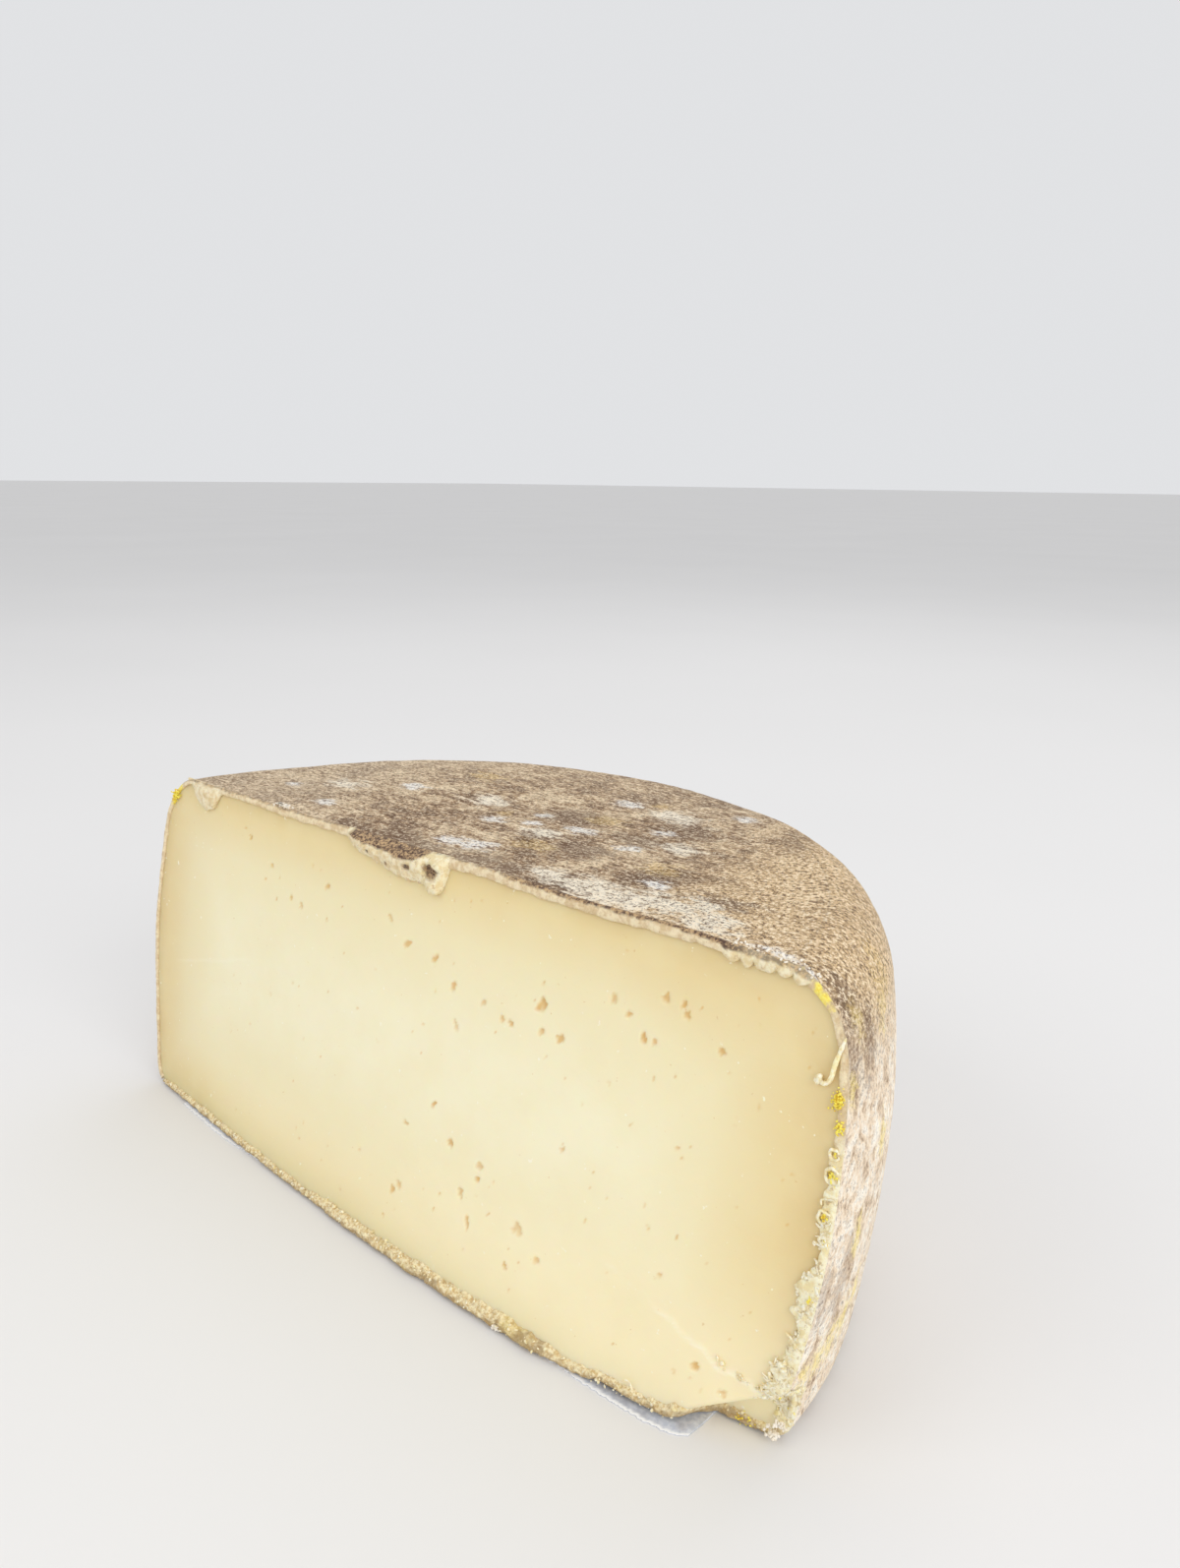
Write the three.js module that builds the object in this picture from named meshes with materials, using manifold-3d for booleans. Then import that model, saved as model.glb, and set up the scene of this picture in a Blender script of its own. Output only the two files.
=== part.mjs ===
// Half wheel of a hard sheep's milk cheese, lying on its flat base with the cut face to the front.
// Millimetres, +Z up. The origin is on the wheel's axis at the base, +X runs along the cut,
// and +Y runs into the cheese. The cheese is one solid, and a bare paper label lies under it.
import * as THREE from 'three';
import { mergeVertices } from 'three/addons/utils/BufferGeometryUtils.js';
import Module from 'manifold-3d';

const wasm = await Module();
wasm.setup();

// Driving dimensions of the wheel
const WHEEL_RADIUS = 128;
const HEIGHT = 104;
const WIDEST_AT = 0.6 * HEIGHT;
const BASE_TAPER = 6.5;
const BASE_TAPER_POWER = 1.8;
const BASE_ROUND = 4;
const WAVE_FADE = 10;
const TOP_TAPER = 5;
const TOP_TAPER_POWER = 1.5;
const SHOULDER_WIDTH = 13.5;
const SHOULDER_DROP = 18;
const RIND_WAVE_HEIGHT = 0.45;
const RIND_WAVE_LENGTH = 34;

// The cut leans: its foot is in front of its top line, and it bulges in the middle
const CUT_TOP_LINE = 12.4;
const CUT_LEAN = 16.3;
const CUT_TWIST = 2.7;
const CUT_BULGE = 9.2;
const CUT_BULGE_SKEW = 0.4;
const CUT_WAVE_HEIGHT = 0.25;
const CUT_WAVE_LENGTH = 60;

// The low right corner of the cut broke away under a slanting line
const CORNER_START = 97;
const CORNER_LINE_FOOT = 1.5;
const CORNER_LINE_SLOPE = 0.6;
const CORNER_LEDGE = 5;
const CORNER_DEPTH = 9;
const CORNER_RUN = 9;

// Label: thin paper that sticks out in front of the foot of the cut at both ends.
// Its front is given as places along X with how far it sticks out there.
const LABEL_RADIUS = 103;
const LABEL_THICKNESS = 0.4;
const LABEL_CENTRE_X = 2;
const LABEL_FRONT = [
  [-96, 1.8], [-74, 1.8], [-60, 0.2], [-40, -0.8], [40, -0.8], [66, 0.2], [74, 1.2], [86, 2.2], [96, 2.8],
  [101, 2.2], [105, 0.8],
];
const LABEL_FRAY_HEIGHT = 0.3;
const LABEL_FRAY_LENGTH = 3.3;
const LABEL_SIDE_GAP = 0.8;
const TOUCH_GAP = 0.3;
const BASE_LEVEL = LABEL_THICKNESS + TOUCH_GAP;

// Steps of the faceted surfaces
const WHEEL_STEPS = 96;
const SIDE_STEPS = 8;
const SHOULDER_STEPS = 5;
const TOP_RINGS = 5;
const CUT_STEPS_ACROSS = 48;
const CUT_STEPS_UP = 18;
const FOOT_STEPS = 3;
const FOOT_STEP_TURN = Math.PI / 6;
const BLOCK_MARGIN = 8;
const MERGE_DISTANCE = 1e-3;

const TAU = 2 * Math.PI;
const GOLDEN_ANGLE = Math.PI * (3 - Math.sqrt(5));
const WAVES = 5;

// Smooth unevenness between about -1 and 1: waves in directions that turn by the golden angle
function unevenness(x, y, z, waveLength) {
  let total = 0;
  for (let k = 0; k < WAVES; k++) {
    const turn = GOLDEN_ANGLE * (k + 1);
    const climb = 0.5 + 0.5 * Math.sin(1.7 * k);
    const flat = x * Math.cos(turn) + y * Math.sin(turn);
    const along = flat * Math.sqrt(1 - 0.5 * climb) + z * climb;
    total += Math.sin((TAU * along) / (waveLength * (1 + 0.31 * k)) + 2.4 * k * k);
  }
  return total / Math.sqrt(2 * WAVES);
}

function smoothStep(from, to, value) {
  const t = Math.min(1, Math.max(0, (value - from) / (to - from)));
  return t * t * (3 - 2 * t);
}

// Seeded random numbers from 0 to 1, the same on each run
function randomFrom(seed) {
  let state = seed;
  return () => {
    state = (state * 1664525 + 1013904223) % 4294967296;
    return state / 4294967296;
  };
}

// Wheel: radius of the side wall at a height, without the rounded shoulder and foot
function wallRadius(z) {
  const below = Math.max(0, (WIDEST_AT - z) / WIDEST_AT);
  const above = Math.max(0, (z - WIDEST_AT) / (HEIGHT - WIDEST_AT));
  const taper = BASE_TAPER * below ** BASE_TAPER_POWER + TOP_TAPER * above ** TOP_TAPER_POWER;
  return WHEEL_RADIUS - taper;
}

// Radius of the finished wheel at a height
function wheelRadius(z) {
  const rise = Math.max(0, z - (HEIGHT - SHOULDER_DROP)) / SHOULDER_DROP;
  const dip = Math.max(0, BASE_LEVEL + BASE_ROUND - z) / BASE_ROUND;
  const shoulder = SHOULDER_WIDTH * (1 - Math.sqrt(Math.max(0, 1 - rise * rise)));
  const foot = BASE_ROUND * (1 - Math.sqrt(Math.max(0, 1 - dip * dip)));
  return wallRadius(z) - shoulder - foot;
}

// Heights of the wall's rings, closer together where the wall turns over
function wallHeights() {
  const heights = [];
  const footTop = BASE_LEVEL + BASE_ROUND;
  const shoulderFoot = HEIGHT - SHOULDER_DROP;
  for (let k = 0; k < FOOT_STEPS; k++) {
    heights.push(footTop - BASE_ROUND * Math.cos(k * FOOT_STEP_TURN));
  }
  for (let k = 0; k < SIDE_STEPS; k++) {
    heights.push(footTop + ((shoulderFoot - footTop) * k) / SIDE_STEPS);
  }
  for (let k = 0; k <= SHOULDER_STEPS; k++) {
    heights.push(shoulderFoot + SHOULDER_DROP * Math.sin((k * Math.PI) / 2 / SHOULDER_STEPS));
  }
  return heights;
}

// How far the rind stands out or in: full on the wall and top, none on the flat base
function rindWave(x, y, z) {
  const offBase = smoothStep(BASE_LEVEL, BASE_LEVEL + WAVE_FADE, z);
  return RIND_WAVE_HEIGHT * unevenness(x, y, z, RIND_WAVE_LENGTH) * offBase;
}

// Closed solid from a geometry, with equal corners merged
function solidOf(geometry) {
  geometry.deleteAttribute('normal');
  geometry.deleteAttribute('uv');
  const merged = mergeVertices(geometry, MERGE_DISTANCE);
  const mesh = new wasm.Mesh({
    numProp: 3,
    vertProperties: new Float32Array(merged.attributes.position.array),
    triVerts: new Uint32Array(merged.index.array),
  });
  return new wasm.Manifold(mesh);
}

function geometryOf(solid) {
  const mesh = solid.getMesh();
  const geometry = new THREE.BufferGeometry();
  geometry.setAttribute('position', new THREE.BufferAttribute(mesh.vertProperties, 3));
  geometry.setIndex(new THREE.BufferAttribute(mesh.triVerts, 1));
  geometry.computeVertexNormals();
  return geometry;
}

// Move each corner of a geometry by a function of its place
function reshape(geometry, move) {
  const place = geometry.attributes.position;
  const point = new THREE.Vector3();
  for (let i = 0; i < place.count; i++) {
    point.fromBufferAttribute(place, i);
    move(point);
    place.setXYZ(i, point.x, point.y, point.z);
  }
  return geometry;
}

// Whole wheel, turned about its axis and then made uneven
function wheelSolid() {
  const profile = [new THREE.Vector2(0, BASE_LEVEL)];
  for (const z of wallHeights()) profile.push(new THREE.Vector2(wheelRadius(z), z));
  const flatRadius = wheelRadius(HEIGHT);
  for (let k = 1; k <= TOP_RINGS; k++) {
    profile.push(new THREE.Vector2(flatRadius * (1 - k / TOP_RINGS), HEIGHT));
  }
  const wheel = new THREE.LatheGeometry(profile, WHEEL_STEPS);
  wheel.rotateX(Math.PI / 2);
  reshape(wheel, (point) => {
    const wave = rindWave(point.x, point.y, point.z);
    const radius = Math.hypot(point.x, point.y);
    const towardsTop = smoothStep(HEIGHT - SHOULDER_DROP, HEIGHT, point.z);
    const grow = radius > 1 ? 1 + (wave * (1 - towardsTop)) / radius : 1;
    point.x *= grow;
    point.y *= grow;
    point.z += wave * towardsTop;
  });
  return solidOf(wheel);
}

// How far the broken corner lies behind the rest of the cut
function brokenCorner(x, z) {
  const line = CORNER_LINE_FOOT + CORNER_LINE_SLOPE * (x - CORNER_START);
  const under = smoothStep(0, CORNER_LEDGE, line + 1 - z);
  return CORNER_DEPTH * under * smoothStep(CORNER_START, CORNER_START + CORNER_RUN, x);
}

// Y of the cut face at a place on it
function cutFace(x, z) {
  const across = x / WHEEL_RADIUS;
  const fall = 1 - Math.min(1, Math.max(0, z / HEIGHT));
  const bulge = CUT_BULGE * Math.max(0, 1 - across * across) * (1 + CUT_BULGE_SKEW * across);
  const lean = CUT_LEAN + CUT_TWIST * across;
  const wave = CUT_WAVE_HEIGHT * unevenness(x, 0, z, CUT_WAVE_LENGTH);
  return CUT_TOP_LINE - (lean + bulge) * fall + wave + brokenCorner(x, z);
}

// Block that keeps what lies behind the cut face
function behindCut() {
  const width = 2 * WHEEL_RADIUS + BLOCK_MARGIN;
  const deep = WHEEL_RADIUS + BLOCK_MARGIN;
  const high = HEIGHT + BLOCK_MARGIN;
  const block = new THREE.BoxGeometry(width, deep, high, CUT_STEPS_ACROSS, 1, CUT_STEPS_UP);
  block.translate(0, deep / 2, HEIGHT / 2);
  reshape(block, (point) => {
    if (point.y < 1) point.y = cutFace(point.x, point.z);
  });
  return solidOf(block);
}

// Half width of the cut at a height, where the cut face meets the wheel's wall
function halfWidth(z, side) {
  const radius = wheelRadius(z);
  let x = side * radius;
  for (let k = 0; k < 5; k++) {
    const y = cutFace(x, z);
    x = side * Math.sqrt(radius * radius - y * y);
  }
  return x;
}

// Outline of the cut, with the direction towards its middle, at even steps from one place to another.
// Stretches: 'top' and 'base' run along X, 'left' and 'right' run up the wall.
function edgePlaces(stretch, from, to, steps) {
  const places = [];
  for (let k = 0; k <= steps; k++) {
    const at = from + ((to - from) * k) / steps;
    if (stretch === 'top') places.push({ x: at, z: HEIGHT, inX: 0, inZ: -1 });
    if (stretch === 'base') places.push({ x: at, z: BASE_LEVEL, inX: 0, inZ: 1 });
    if (stretch === 'left' || stretch === 'right') {
      const side = stretch === 'left' ? -1 : 1;
      const slope = halfWidth(at + 1, side) - halfWidth(at - 1, side);
      const length = Math.hypot(2, slope);
      places.push({
        x: halfWidth(at, side),
        z: at,
        inX: (-side * 2) / length,
        inZ: (side * slope) / length,
      });
    }
  }
  return places;
}

// Solid through a row of closed sections with equal numbers of corners
function loft(sections) {
  const corners = sections[0].length;
  const positions = [];
  const faces = [];
  for (const section of sections) {
    for (const point of section) positions.push(point.x, point.y, point.z);
  }
  for (let k = 0; k + 1 < sections.length; k++) {
    for (let i = 0; i < corners; i++) {
      const a = k * corners + i;
      const b = k * corners + ((i + 1) % corners);
      faces.push(a, b, b + corners, a, b + corners, a + corners);
    }
  }
  const last = (sections.length - 1) * corners;
  for (let i = 1; i + 1 < corners; i++) {
    faces.push(0, i + 1, i);
    faces.push(last, last + i, last + i + 1);
  }
  const geometry = new THREE.BufferGeometry();
  geometry.setAttribute('position', new THREE.Float32BufferAttribute(positions, 3));
  geometry.setIndex(faces);
  const solid = solidOf(geometry);
  if (solid.volume() > 0) return solid;
  for (let i = 0; i < faces.length; i += 3) [faces[i], faces[i + 1]] = [faces[i + 1], faces[i]];
  geometry.setIndex(faces);
  return solidOf(geometry);
}

// Bands of rind along the edges of the cut, with their width, how far they stand out in front of
// the paste and how uneven they are
const TOP_BAND_END = halfWidth(HEIGHT, 1) - 1;
const BANDS = [
  { stretch: 'top', from: -TOP_BAND_END, to: TOP_BAND_END, steps: 40, width: 3.1, proud: 1, ragged: 0.22 },
  { stretch: 'base', from: -112, to: 103, steps: 44, width: 3.6, proud: 1.6, ragged: 0.45 },
  { stretch: 'left', from: 3, to: HEIGHT - 5, steps: 16, width: 1.9, proud: 0.7, ragged: 0.3 },
  { stretch: 'right', from: 22, to: HEIGHT - 5, steps: 16, width: 2.2, proud: 0.9, ragged: 0.35 },
];
const BAND_SEEDS = { top: 3, base: 11, left: 17, right: 23 };
const BAND_INSET = 0.7;
const BAND_BURIED = 3;
const BAND_FOOT = 0.4;

// Section of a band: shares of its width and of how far it stands out
const BAND_OUTER_OUT = 0.5;
const BAND_CREST_AT = 0.45;
const BAND_INNER_OUT = 0.6;

function rindBand({ stretch, from, to, steps, width, proud, ragged }) {
  const random = randomFrom(BAND_SEEDS[stretch]);
  const sections = edgePlaces(stretch, from, to, steps).map((place, index) => {
    const ends = Math.min(1, Math.min(index, steps - index) / 2);
    const uneven = 1 + ragged * (2 * random() - 1);
    const wide = width * uneven * (0.4 + 0.6 * ends);
    const out = proud * (0.3 + 0.7 * ends) * (1 + ragged * (2 * random() - 1));
    const corner = (inward, forward) => {
      const x = place.x + place.inX * inward;
      const z = place.z + place.inZ * inward;
      return new THREE.Vector3(x, cutFace(x, z) - forward, z);
    };
    return [
      corner(BAND_INSET, -BAND_BURIED),
      corner(BAND_INSET, BAND_OUTER_OUT * out),
      corner(BAND_CREST_AT * wide, out),
      corner(wide, BAND_INNER_OUT * out),
      corner(wide + BAND_FOOT, -BAND_BURIED),
    ];
  });
  return loft(sections);
}

// Torn flap: the rind of the top tore, rolled forward over the edge and hangs on the cut
const FLAP_LEFT = -34;
const FLAP_RIGHT = 9;
const FLAP_STEPS = 22;
const FLAP_FORWARD = 5.5;
const FLAP_HANG = 9.5;
const FLAP_THICKNESS = 3.2;
const FLAP_SWELLS_BY = 0.28;
const FLAP_ENDS_FROM = 0.9;
const FLAP_LOBES = 3.2;
const FLAP_LOBE_SHARE = 0.12;

// Corners of the flap's section: share of how far it stands out and millimetres more, then share of
// how far it hangs and millimetres more
const FLAP_SECTION = [
  [0, -3, 0, 0.6],
  [0.4, 0, 0.12, 0.3],
  [0.85, 0, 0.42, 0],
  [1, 0, 0.7, 0],
  [0.9, 0, 1, 0],
  [0.3, 0, 1, -0.8],
  [0, -3, 1, -2.5],
];

function tornFlap() {
  const sections = [];
  for (let k = 0; k <= FLAP_STEPS; k++) {
    const t = k / FLAP_STEPS;
    const x = FLAP_LEFT + (FLAP_RIGHT - FLAP_LEFT) * t;
    const swell = smoothStep(0, FLAP_SWELLS_BY, t) * (1 - smoothStep(FLAP_ENDS_FROM, 1, t));
    const lobe = FLAP_LOBE_SHARE * Math.sin(TAU * FLAP_LOBES * t + 0.6);
    const forward = FLAP_FORWARD * swell * (0.85 + 0.25 * t + lobe);
    const hang = FLAP_THICKNESS + (FLAP_HANG - FLAP_THICKNESS) * swell * (0.82 + 0.3 * t + lobe);
    const top = HEIGHT - RIND_WAVE_HEIGHT;
    sections.push(FLAP_SECTION.map(([outShare, outMore, downShare, downMore]) => {
      const ahead = outShare * forward + outMore;
      const down = downShare * hang + downMore;
      return new THREE.Vector3(x, CUT_TOP_LINE - ahead, top - down);
    }));
  }
  return loft(sections);
}

// Lump with an uneven round form
const LUMP_LEAST_STRETCH = 0.8;
const LUMP_STRETCH_RANGE = 0.5;
const LUMP_ROUGHNESS = 0.14;

function lump(x, z, radius, forward, random) {
  const ball = new THREE.IcosahedronGeometry(1, 1);
  const phase = TAU * random();
  const stretchX = radius * (LUMP_LEAST_STRETCH + LUMP_STRETCH_RANGE * random());
  const stretchZ = radius * (LUMP_LEAST_STRETCH + LUMP_STRETCH_RANGE * random());
  reshape(ball, (point) => {
    const rough = 1 + LUMP_ROUGHNESS * Math.sin(3 * point.x + 5 * point.z + phase);
    point.set(point.x * stretchX * rough, point.y * radius * rough, point.z * stretchZ * rough);
  });
  ball.translate(x, cutFace(x, z) - forward, z);
  return solidOf(ball);
}

// Scallops: the soft paste under the rind squeezed out in lobes near the right shoulder
const SCALLOPS = { from: 97, to: 113, count: 5, height: 99.5, fall: 1.6, radius: 2.5, sunk: 0.6 };

// Ragged stretches of the right edge and of the low right corner, with crumbs and mould beads
const RAGGED_STRETCHES = [
  { from: 82, to: 70, count: 4, radius: 1.5, reach: 0.8 },
  { from: 68, to: 53, count: 4, radius: 2.2, reach: 2 },
  { from: 52, to: 26, count: 7, radius: 2.1, reach: 3 },
  { from: 24, to: 5, count: 8, radius: 2.6, reach: 5 },
];
const RAGGED_EDGE_GAP = 0.6;
const RAGGED_SUNK_SHARE = 0.45;
const RAGGED_LIFT_SHARE = 1.4;

function edgeLumps() {
  const random = randomFrom(41);
  const lumps = [];
  for (let k = 0; k < SCALLOPS.count; k++) {
    const x = SCALLOPS.from + ((SCALLOPS.to - SCALLOPS.from) * k) / (SCALLOPS.count - 1);
    const z = SCALLOPS.height - (SCALLOPS.fall * k) / SCALLOPS.count;
    const radius = SCALLOPS.radius * (0.85 + 0.3 * random());
    lumps.push(lump(x, z, radius, -SCALLOPS.sunk, random));
  }
  for (const stretch of RAGGED_STRETCHES) {
    for (let k = 0; k < stretch.count; k++) {
      const z = stretch.from + ((stretch.to - stretch.from) * (k + random())) / stretch.count;
      const radius = stretch.radius * (0.7 + 0.6 * random());
      const inset = radius + RAGGED_EDGE_GAP + stretch.reach * random() ** 2;
      const x = halfWidth(z, 1) - inset;
      const high = Math.max(z, BASE_LEVEL + RAGGED_LIFT_SHARE * radius);
      lumps.push(lump(x, high, radius, -RAGGED_SUNK_SHARE * radius, random));
    }
  }
  return lumps;
}

// Eyes: the larger small holes of the paste, as x, z and radius on the cut
const EYES = [
  [47, 77, 2.2], [9, 78, 1.6], [17, 73, 1.5], [54, 71, 1.8], [81, 88, 1.8], [67, 84, 1.5],
  [86, 87, 1.5], [77, 78, 1.5], [-38, 86, 1.4], [25, 36, 1.7], [36, 33, 1.8], [51, 25, 2],
  [31, 26, 1.5], [58, 20, 1.4], [9, 19, 1.4], [103, 15, 1.5], [28, 72, 1.4], [36, 70, 1.5],
];
const EYE_STEPS_ROUND = 7;
const EYE_STEPS_UP = 5;
const EYE_DEPTH_SHARE = 0.9;
const EYE_SUNK_SHARE = 0.2;

function eyeHollows() {
  const random = randomFrom(7);
  return EYES.map(([x, z, radius]) => {
    const hollow = new THREE.SphereGeometry(radius, EYE_STEPS_ROUND, EYE_STEPS_UP);
    hollow.scale(1, EYE_DEPTH_SHARE, 0.75 + 0.3 * random());
    hollow.rotateY(TAU * random());
    hollow.translate(x, cutFace(x, z) - EYE_SUNK_SHARE * radius, z);
    return solidOf(hollow);
  });
}

// The cheese: wheel behind the cut, bands of rind, flap and lumps joined on, eyes cut out
function cheeseSolid() {
  let cheese = wheelSolid().intersect(behindCut());
  const bands = BANDS.map(rindBand);
  for (const piece of [...bands, tornFlap(), ...edgeLumps()]) cheese = cheese.add(piece);
  for (const hollow of eyeHollows()) cheese = cheese.subtract(hollow);
  return cheese;
}

// Y of the label's front edge: it follows the foot of the cut, sticks out at both ends and is frayed
function labelFront(x) {
  let [before, after] = [LABEL_FRONT[0], LABEL_FRONT[0]];
  for (const place of LABEL_FRONT) {
    before = after;
    after = place;
    if (after[0] >= x) break;
  }
  const gap = after[0] - before[0];
  const t = gap > 0 ? Math.min(1, Math.max(0, (x - before[0]) / gap)) : 0;
  const out = before[1] + (after[1] - before[1]) * t;
  const fray = LABEL_FRAY_HEIGHT * Math.sin((TAU * x) / LABEL_FRAY_LENGTH);
  return cutFace(x, BASE_LEVEL) - brokenCorner(x, BASE_LEVEL) - out + fray;
}

function labelGeometry() {
  const outline = new THREE.Shape();
  const frontSteps = 90;
  const arcSteps = 48;
  const reach = LABEL_RADIUS - LABEL_SIDE_GAP;
  for (let k = 0; k <= frontSteps; k++) {
    const x = LABEL_CENTRE_X - reach + (2 * reach * k) / frontSteps;
    if (k === 0) outline.moveTo(x, labelFront(x));
    else outline.lineTo(x, labelFront(x));
  }
  for (let k = 0; k <= arcSteps; k++) {
    const turn = (Math.PI * k) / arcSteps;
    outline.lineTo(LABEL_CENTRE_X + LABEL_RADIUS * Math.cos(turn), LABEL_RADIUS * Math.sin(turn));
  }
  const sheet = new THREE.ExtrudeGeometry(outline, { depth: LABEL_THICKNESS, bevelEnabled: false });
  return geometryOf(solidOf(sheet));
}

const PASTE_COLOR = 0xe8d9ae;
const PASTE_ROUGHNESS = 0.6;
const PAPER_COLOR = 0xd9d6d2;
const PAPER_ROUGHNESS = 0.8;

function pieceOf(name, geometry, color, roughness) {
  const finish = new THREE.MeshStandardMaterial({ color, roughness, metalness: 0 });
  const mesh = new THREE.Mesh(geometry, finish);
  mesh.name = name;
  return mesh;
}

const halfWheel = new THREE.Group();
halfWheel.add(pieceOf('cheese', geometryOf(cheeseSolid()), PASTE_COLOR, PASTE_ROUGHNESS));
halfWheel.add(pieceOf('label', labelGeometry(), PAPER_COLOR, PAPER_ROUGHNESS));

export default halfWheel;
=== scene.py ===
"""Half wheel of a hard sheep's milk cheese: the cut paste, its mouldy natural rind, the torn rind
over the cut, the crumbly edges, and the bare paper label under the base."""
import math

import bmesh
import bpy
import numpy as np
from mathutils import Matrix, Vector


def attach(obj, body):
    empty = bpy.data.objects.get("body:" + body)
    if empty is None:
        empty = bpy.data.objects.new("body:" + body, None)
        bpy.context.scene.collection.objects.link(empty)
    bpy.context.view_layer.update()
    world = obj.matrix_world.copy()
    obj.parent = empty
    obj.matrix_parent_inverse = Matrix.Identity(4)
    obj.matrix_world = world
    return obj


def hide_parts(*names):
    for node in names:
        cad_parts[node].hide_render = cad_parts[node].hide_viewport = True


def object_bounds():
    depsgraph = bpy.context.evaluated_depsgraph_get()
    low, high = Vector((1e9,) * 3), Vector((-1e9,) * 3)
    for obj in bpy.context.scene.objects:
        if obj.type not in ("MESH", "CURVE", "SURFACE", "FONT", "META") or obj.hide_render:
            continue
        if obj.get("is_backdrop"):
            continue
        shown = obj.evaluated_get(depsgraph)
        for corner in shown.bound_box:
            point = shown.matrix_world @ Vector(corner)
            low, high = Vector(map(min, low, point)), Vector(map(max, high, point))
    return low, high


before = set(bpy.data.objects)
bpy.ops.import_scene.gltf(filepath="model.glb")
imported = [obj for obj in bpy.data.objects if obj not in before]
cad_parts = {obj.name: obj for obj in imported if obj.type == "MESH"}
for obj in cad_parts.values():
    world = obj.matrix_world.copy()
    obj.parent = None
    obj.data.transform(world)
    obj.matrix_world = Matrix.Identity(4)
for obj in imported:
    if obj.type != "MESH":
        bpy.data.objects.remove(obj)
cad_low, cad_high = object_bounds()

# Paste: the pressed ivory body of the cheese, which shows where the wheel was cut in half.
# It is firm and slightly see-through, darker where it dried towards the rind, with small holes,
# the eyes. The cut leans, bulges in the middle and broke away at the low right corner.
WHEEL_RADIUS = 128.0
HEIGHT = 104.0
WIDEST_AT = 0.6 * HEIGHT
BASE_TAPER, BASE_TAPER_POWER = 6.5, 1.8
TOP_TAPER, TOP_TAPER_POWER = 5.0, 1.5
BASE_LEVEL, BASE_ROUND = 0.7, 4.0
SHOULDER_WIDTH, SHOULDER_DROP = 13.5, 18.0
RIND_WAVE_HEIGHT, RIND_WAVE_LENGTH, WAVE_FADE = 0.45, 34.0, 10.0
CUT_TOP_LINE, CUT_LEAN, CUT_TWIST = 12.4, 16.3, 2.7
CUT_BULGE, CUT_BULGE_SKEW = 9.2, 0.4
CUT_WAVE_HEIGHT, CUT_WAVE_LENGTH = 0.25, 60.0
CORNER_START, CORNER_RUN, CORNER_DEPTH, CORNER_LEDGE = 97.0, 9.0, 9.0, 5.0
CORNER_LINE_FOOT, CORNER_LINE_SLOPE = 1.5, 0.6
INSIDE_BOX = 0.15
BOX_LOW, BOX_HIGH = np.array(cad_low) * 1000 + 0.02, np.array(cad_high) * 1000 - 0.02
TAU = 2 * math.pi
GOLDEN_ANGLE = math.pi * (3 - math.sqrt(5))
WAVES = 5
WELD_METRES = 1e-6


def unevenness(x, y, z, wave_length):
    """Smooth waves between about -1 and 1, in directions that turn by the golden angle."""
    total = 0.0
    for k in range(WAVES):
        turn = GOLDEN_ANGLE * (k + 1)
        climb = 0.5 + 0.5 * math.sin(1.7 * k)
        flat = x * math.cos(turn) + y * math.sin(turn)
        along = flat * math.sqrt(1 - 0.5 * climb) + z * climb
        total = total + np.sin(TAU * along / (wave_length * (1 + 0.31 * k)) + 2.4 * k * k)
    return total / math.sqrt(2 * WAVES)


def smooth_step(start, end, value):
    t = np.clip((value - start) / (end - start), 0, 1)
    return t * t * (3 - 2 * t)


def lattice(ix, iy, iz, seed):
    """One fixed random number from 0 to 1 for each corner of a cubic lattice."""
    mixed = (ix * 374761393 + iy * 668265263 + iz * 2147483647 + seed * 974711) & 0xFFFFFFFF
    mixed = ((mixed ^ (mixed >> 13)) * 1274126177) & 0xFFFFFFFF
    return ((mixed ^ (mixed >> 16)) & 0xFFFFFF) / 0xFFFFFF


def grain(points, size, seed, octaves=1):
    """Random relief between -1 and 1 over points in millimetres, with lumps of about that size."""
    total, weight = 0.0, 0.0
    for octave in range(octaves):
        at = points / (size * 0.5**octave) + 1000.0
        cell = np.floor(at).astype(np.int64)
        t = at - cell
        t = t * t * (3 - 2 * t)
        value = 0.0
        for dx in (0, 1):
            for dy in (0, 1):
                for dz in (0, 1):
                    share = abs(1 - dx - t[..., 0]) * abs(1 - dy - t[..., 1]) * abs(1 - dz - t[..., 2])
                    corner = cell + (dx, dy, dz)
                    value = value + share * lattice(*np.moveaxis(corner, -1, 0), seed + octave)
        total = total + (2 * value - 1) * 0.55**octave
        weight += 0.55**octave
    return total / weight


def wheel_radius(z):
    """Radius of the wheel at a height, with its rounded shoulder and foot."""
    below = np.maximum(0, (WIDEST_AT - z) / WIDEST_AT)
    above = np.maximum(0, (z - WIDEST_AT) / (HEIGHT - WIDEST_AT))
    rise = np.clip((z - HEIGHT + SHOULDER_DROP) / SHOULDER_DROP, 0, 1)
    dip = np.clip((BASE_LEVEL + BASE_ROUND - z) / BASE_ROUND, 0, 1)
    taper = BASE_TAPER * below**BASE_TAPER_POWER + TOP_TAPER * above**TOP_TAPER_POWER
    shoulder = SHOULDER_WIDTH * (1 - np.sqrt(1 - rise * rise))
    foot = BASE_ROUND * (1 - np.sqrt(1 - dip * dip))
    return WHEEL_RADIUS - INSIDE_BOX - taper - shoulder - foot


def broken_corner(x, z):
    line = CORNER_LINE_FOOT + CORNER_LINE_SLOPE * (x - CORNER_START)
    under = smooth_step(0, CORNER_LEDGE, line + 1 - z)
    return CORNER_DEPTH * under * smooth_step(CORNER_START, CORNER_START + CORNER_RUN, x)


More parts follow.
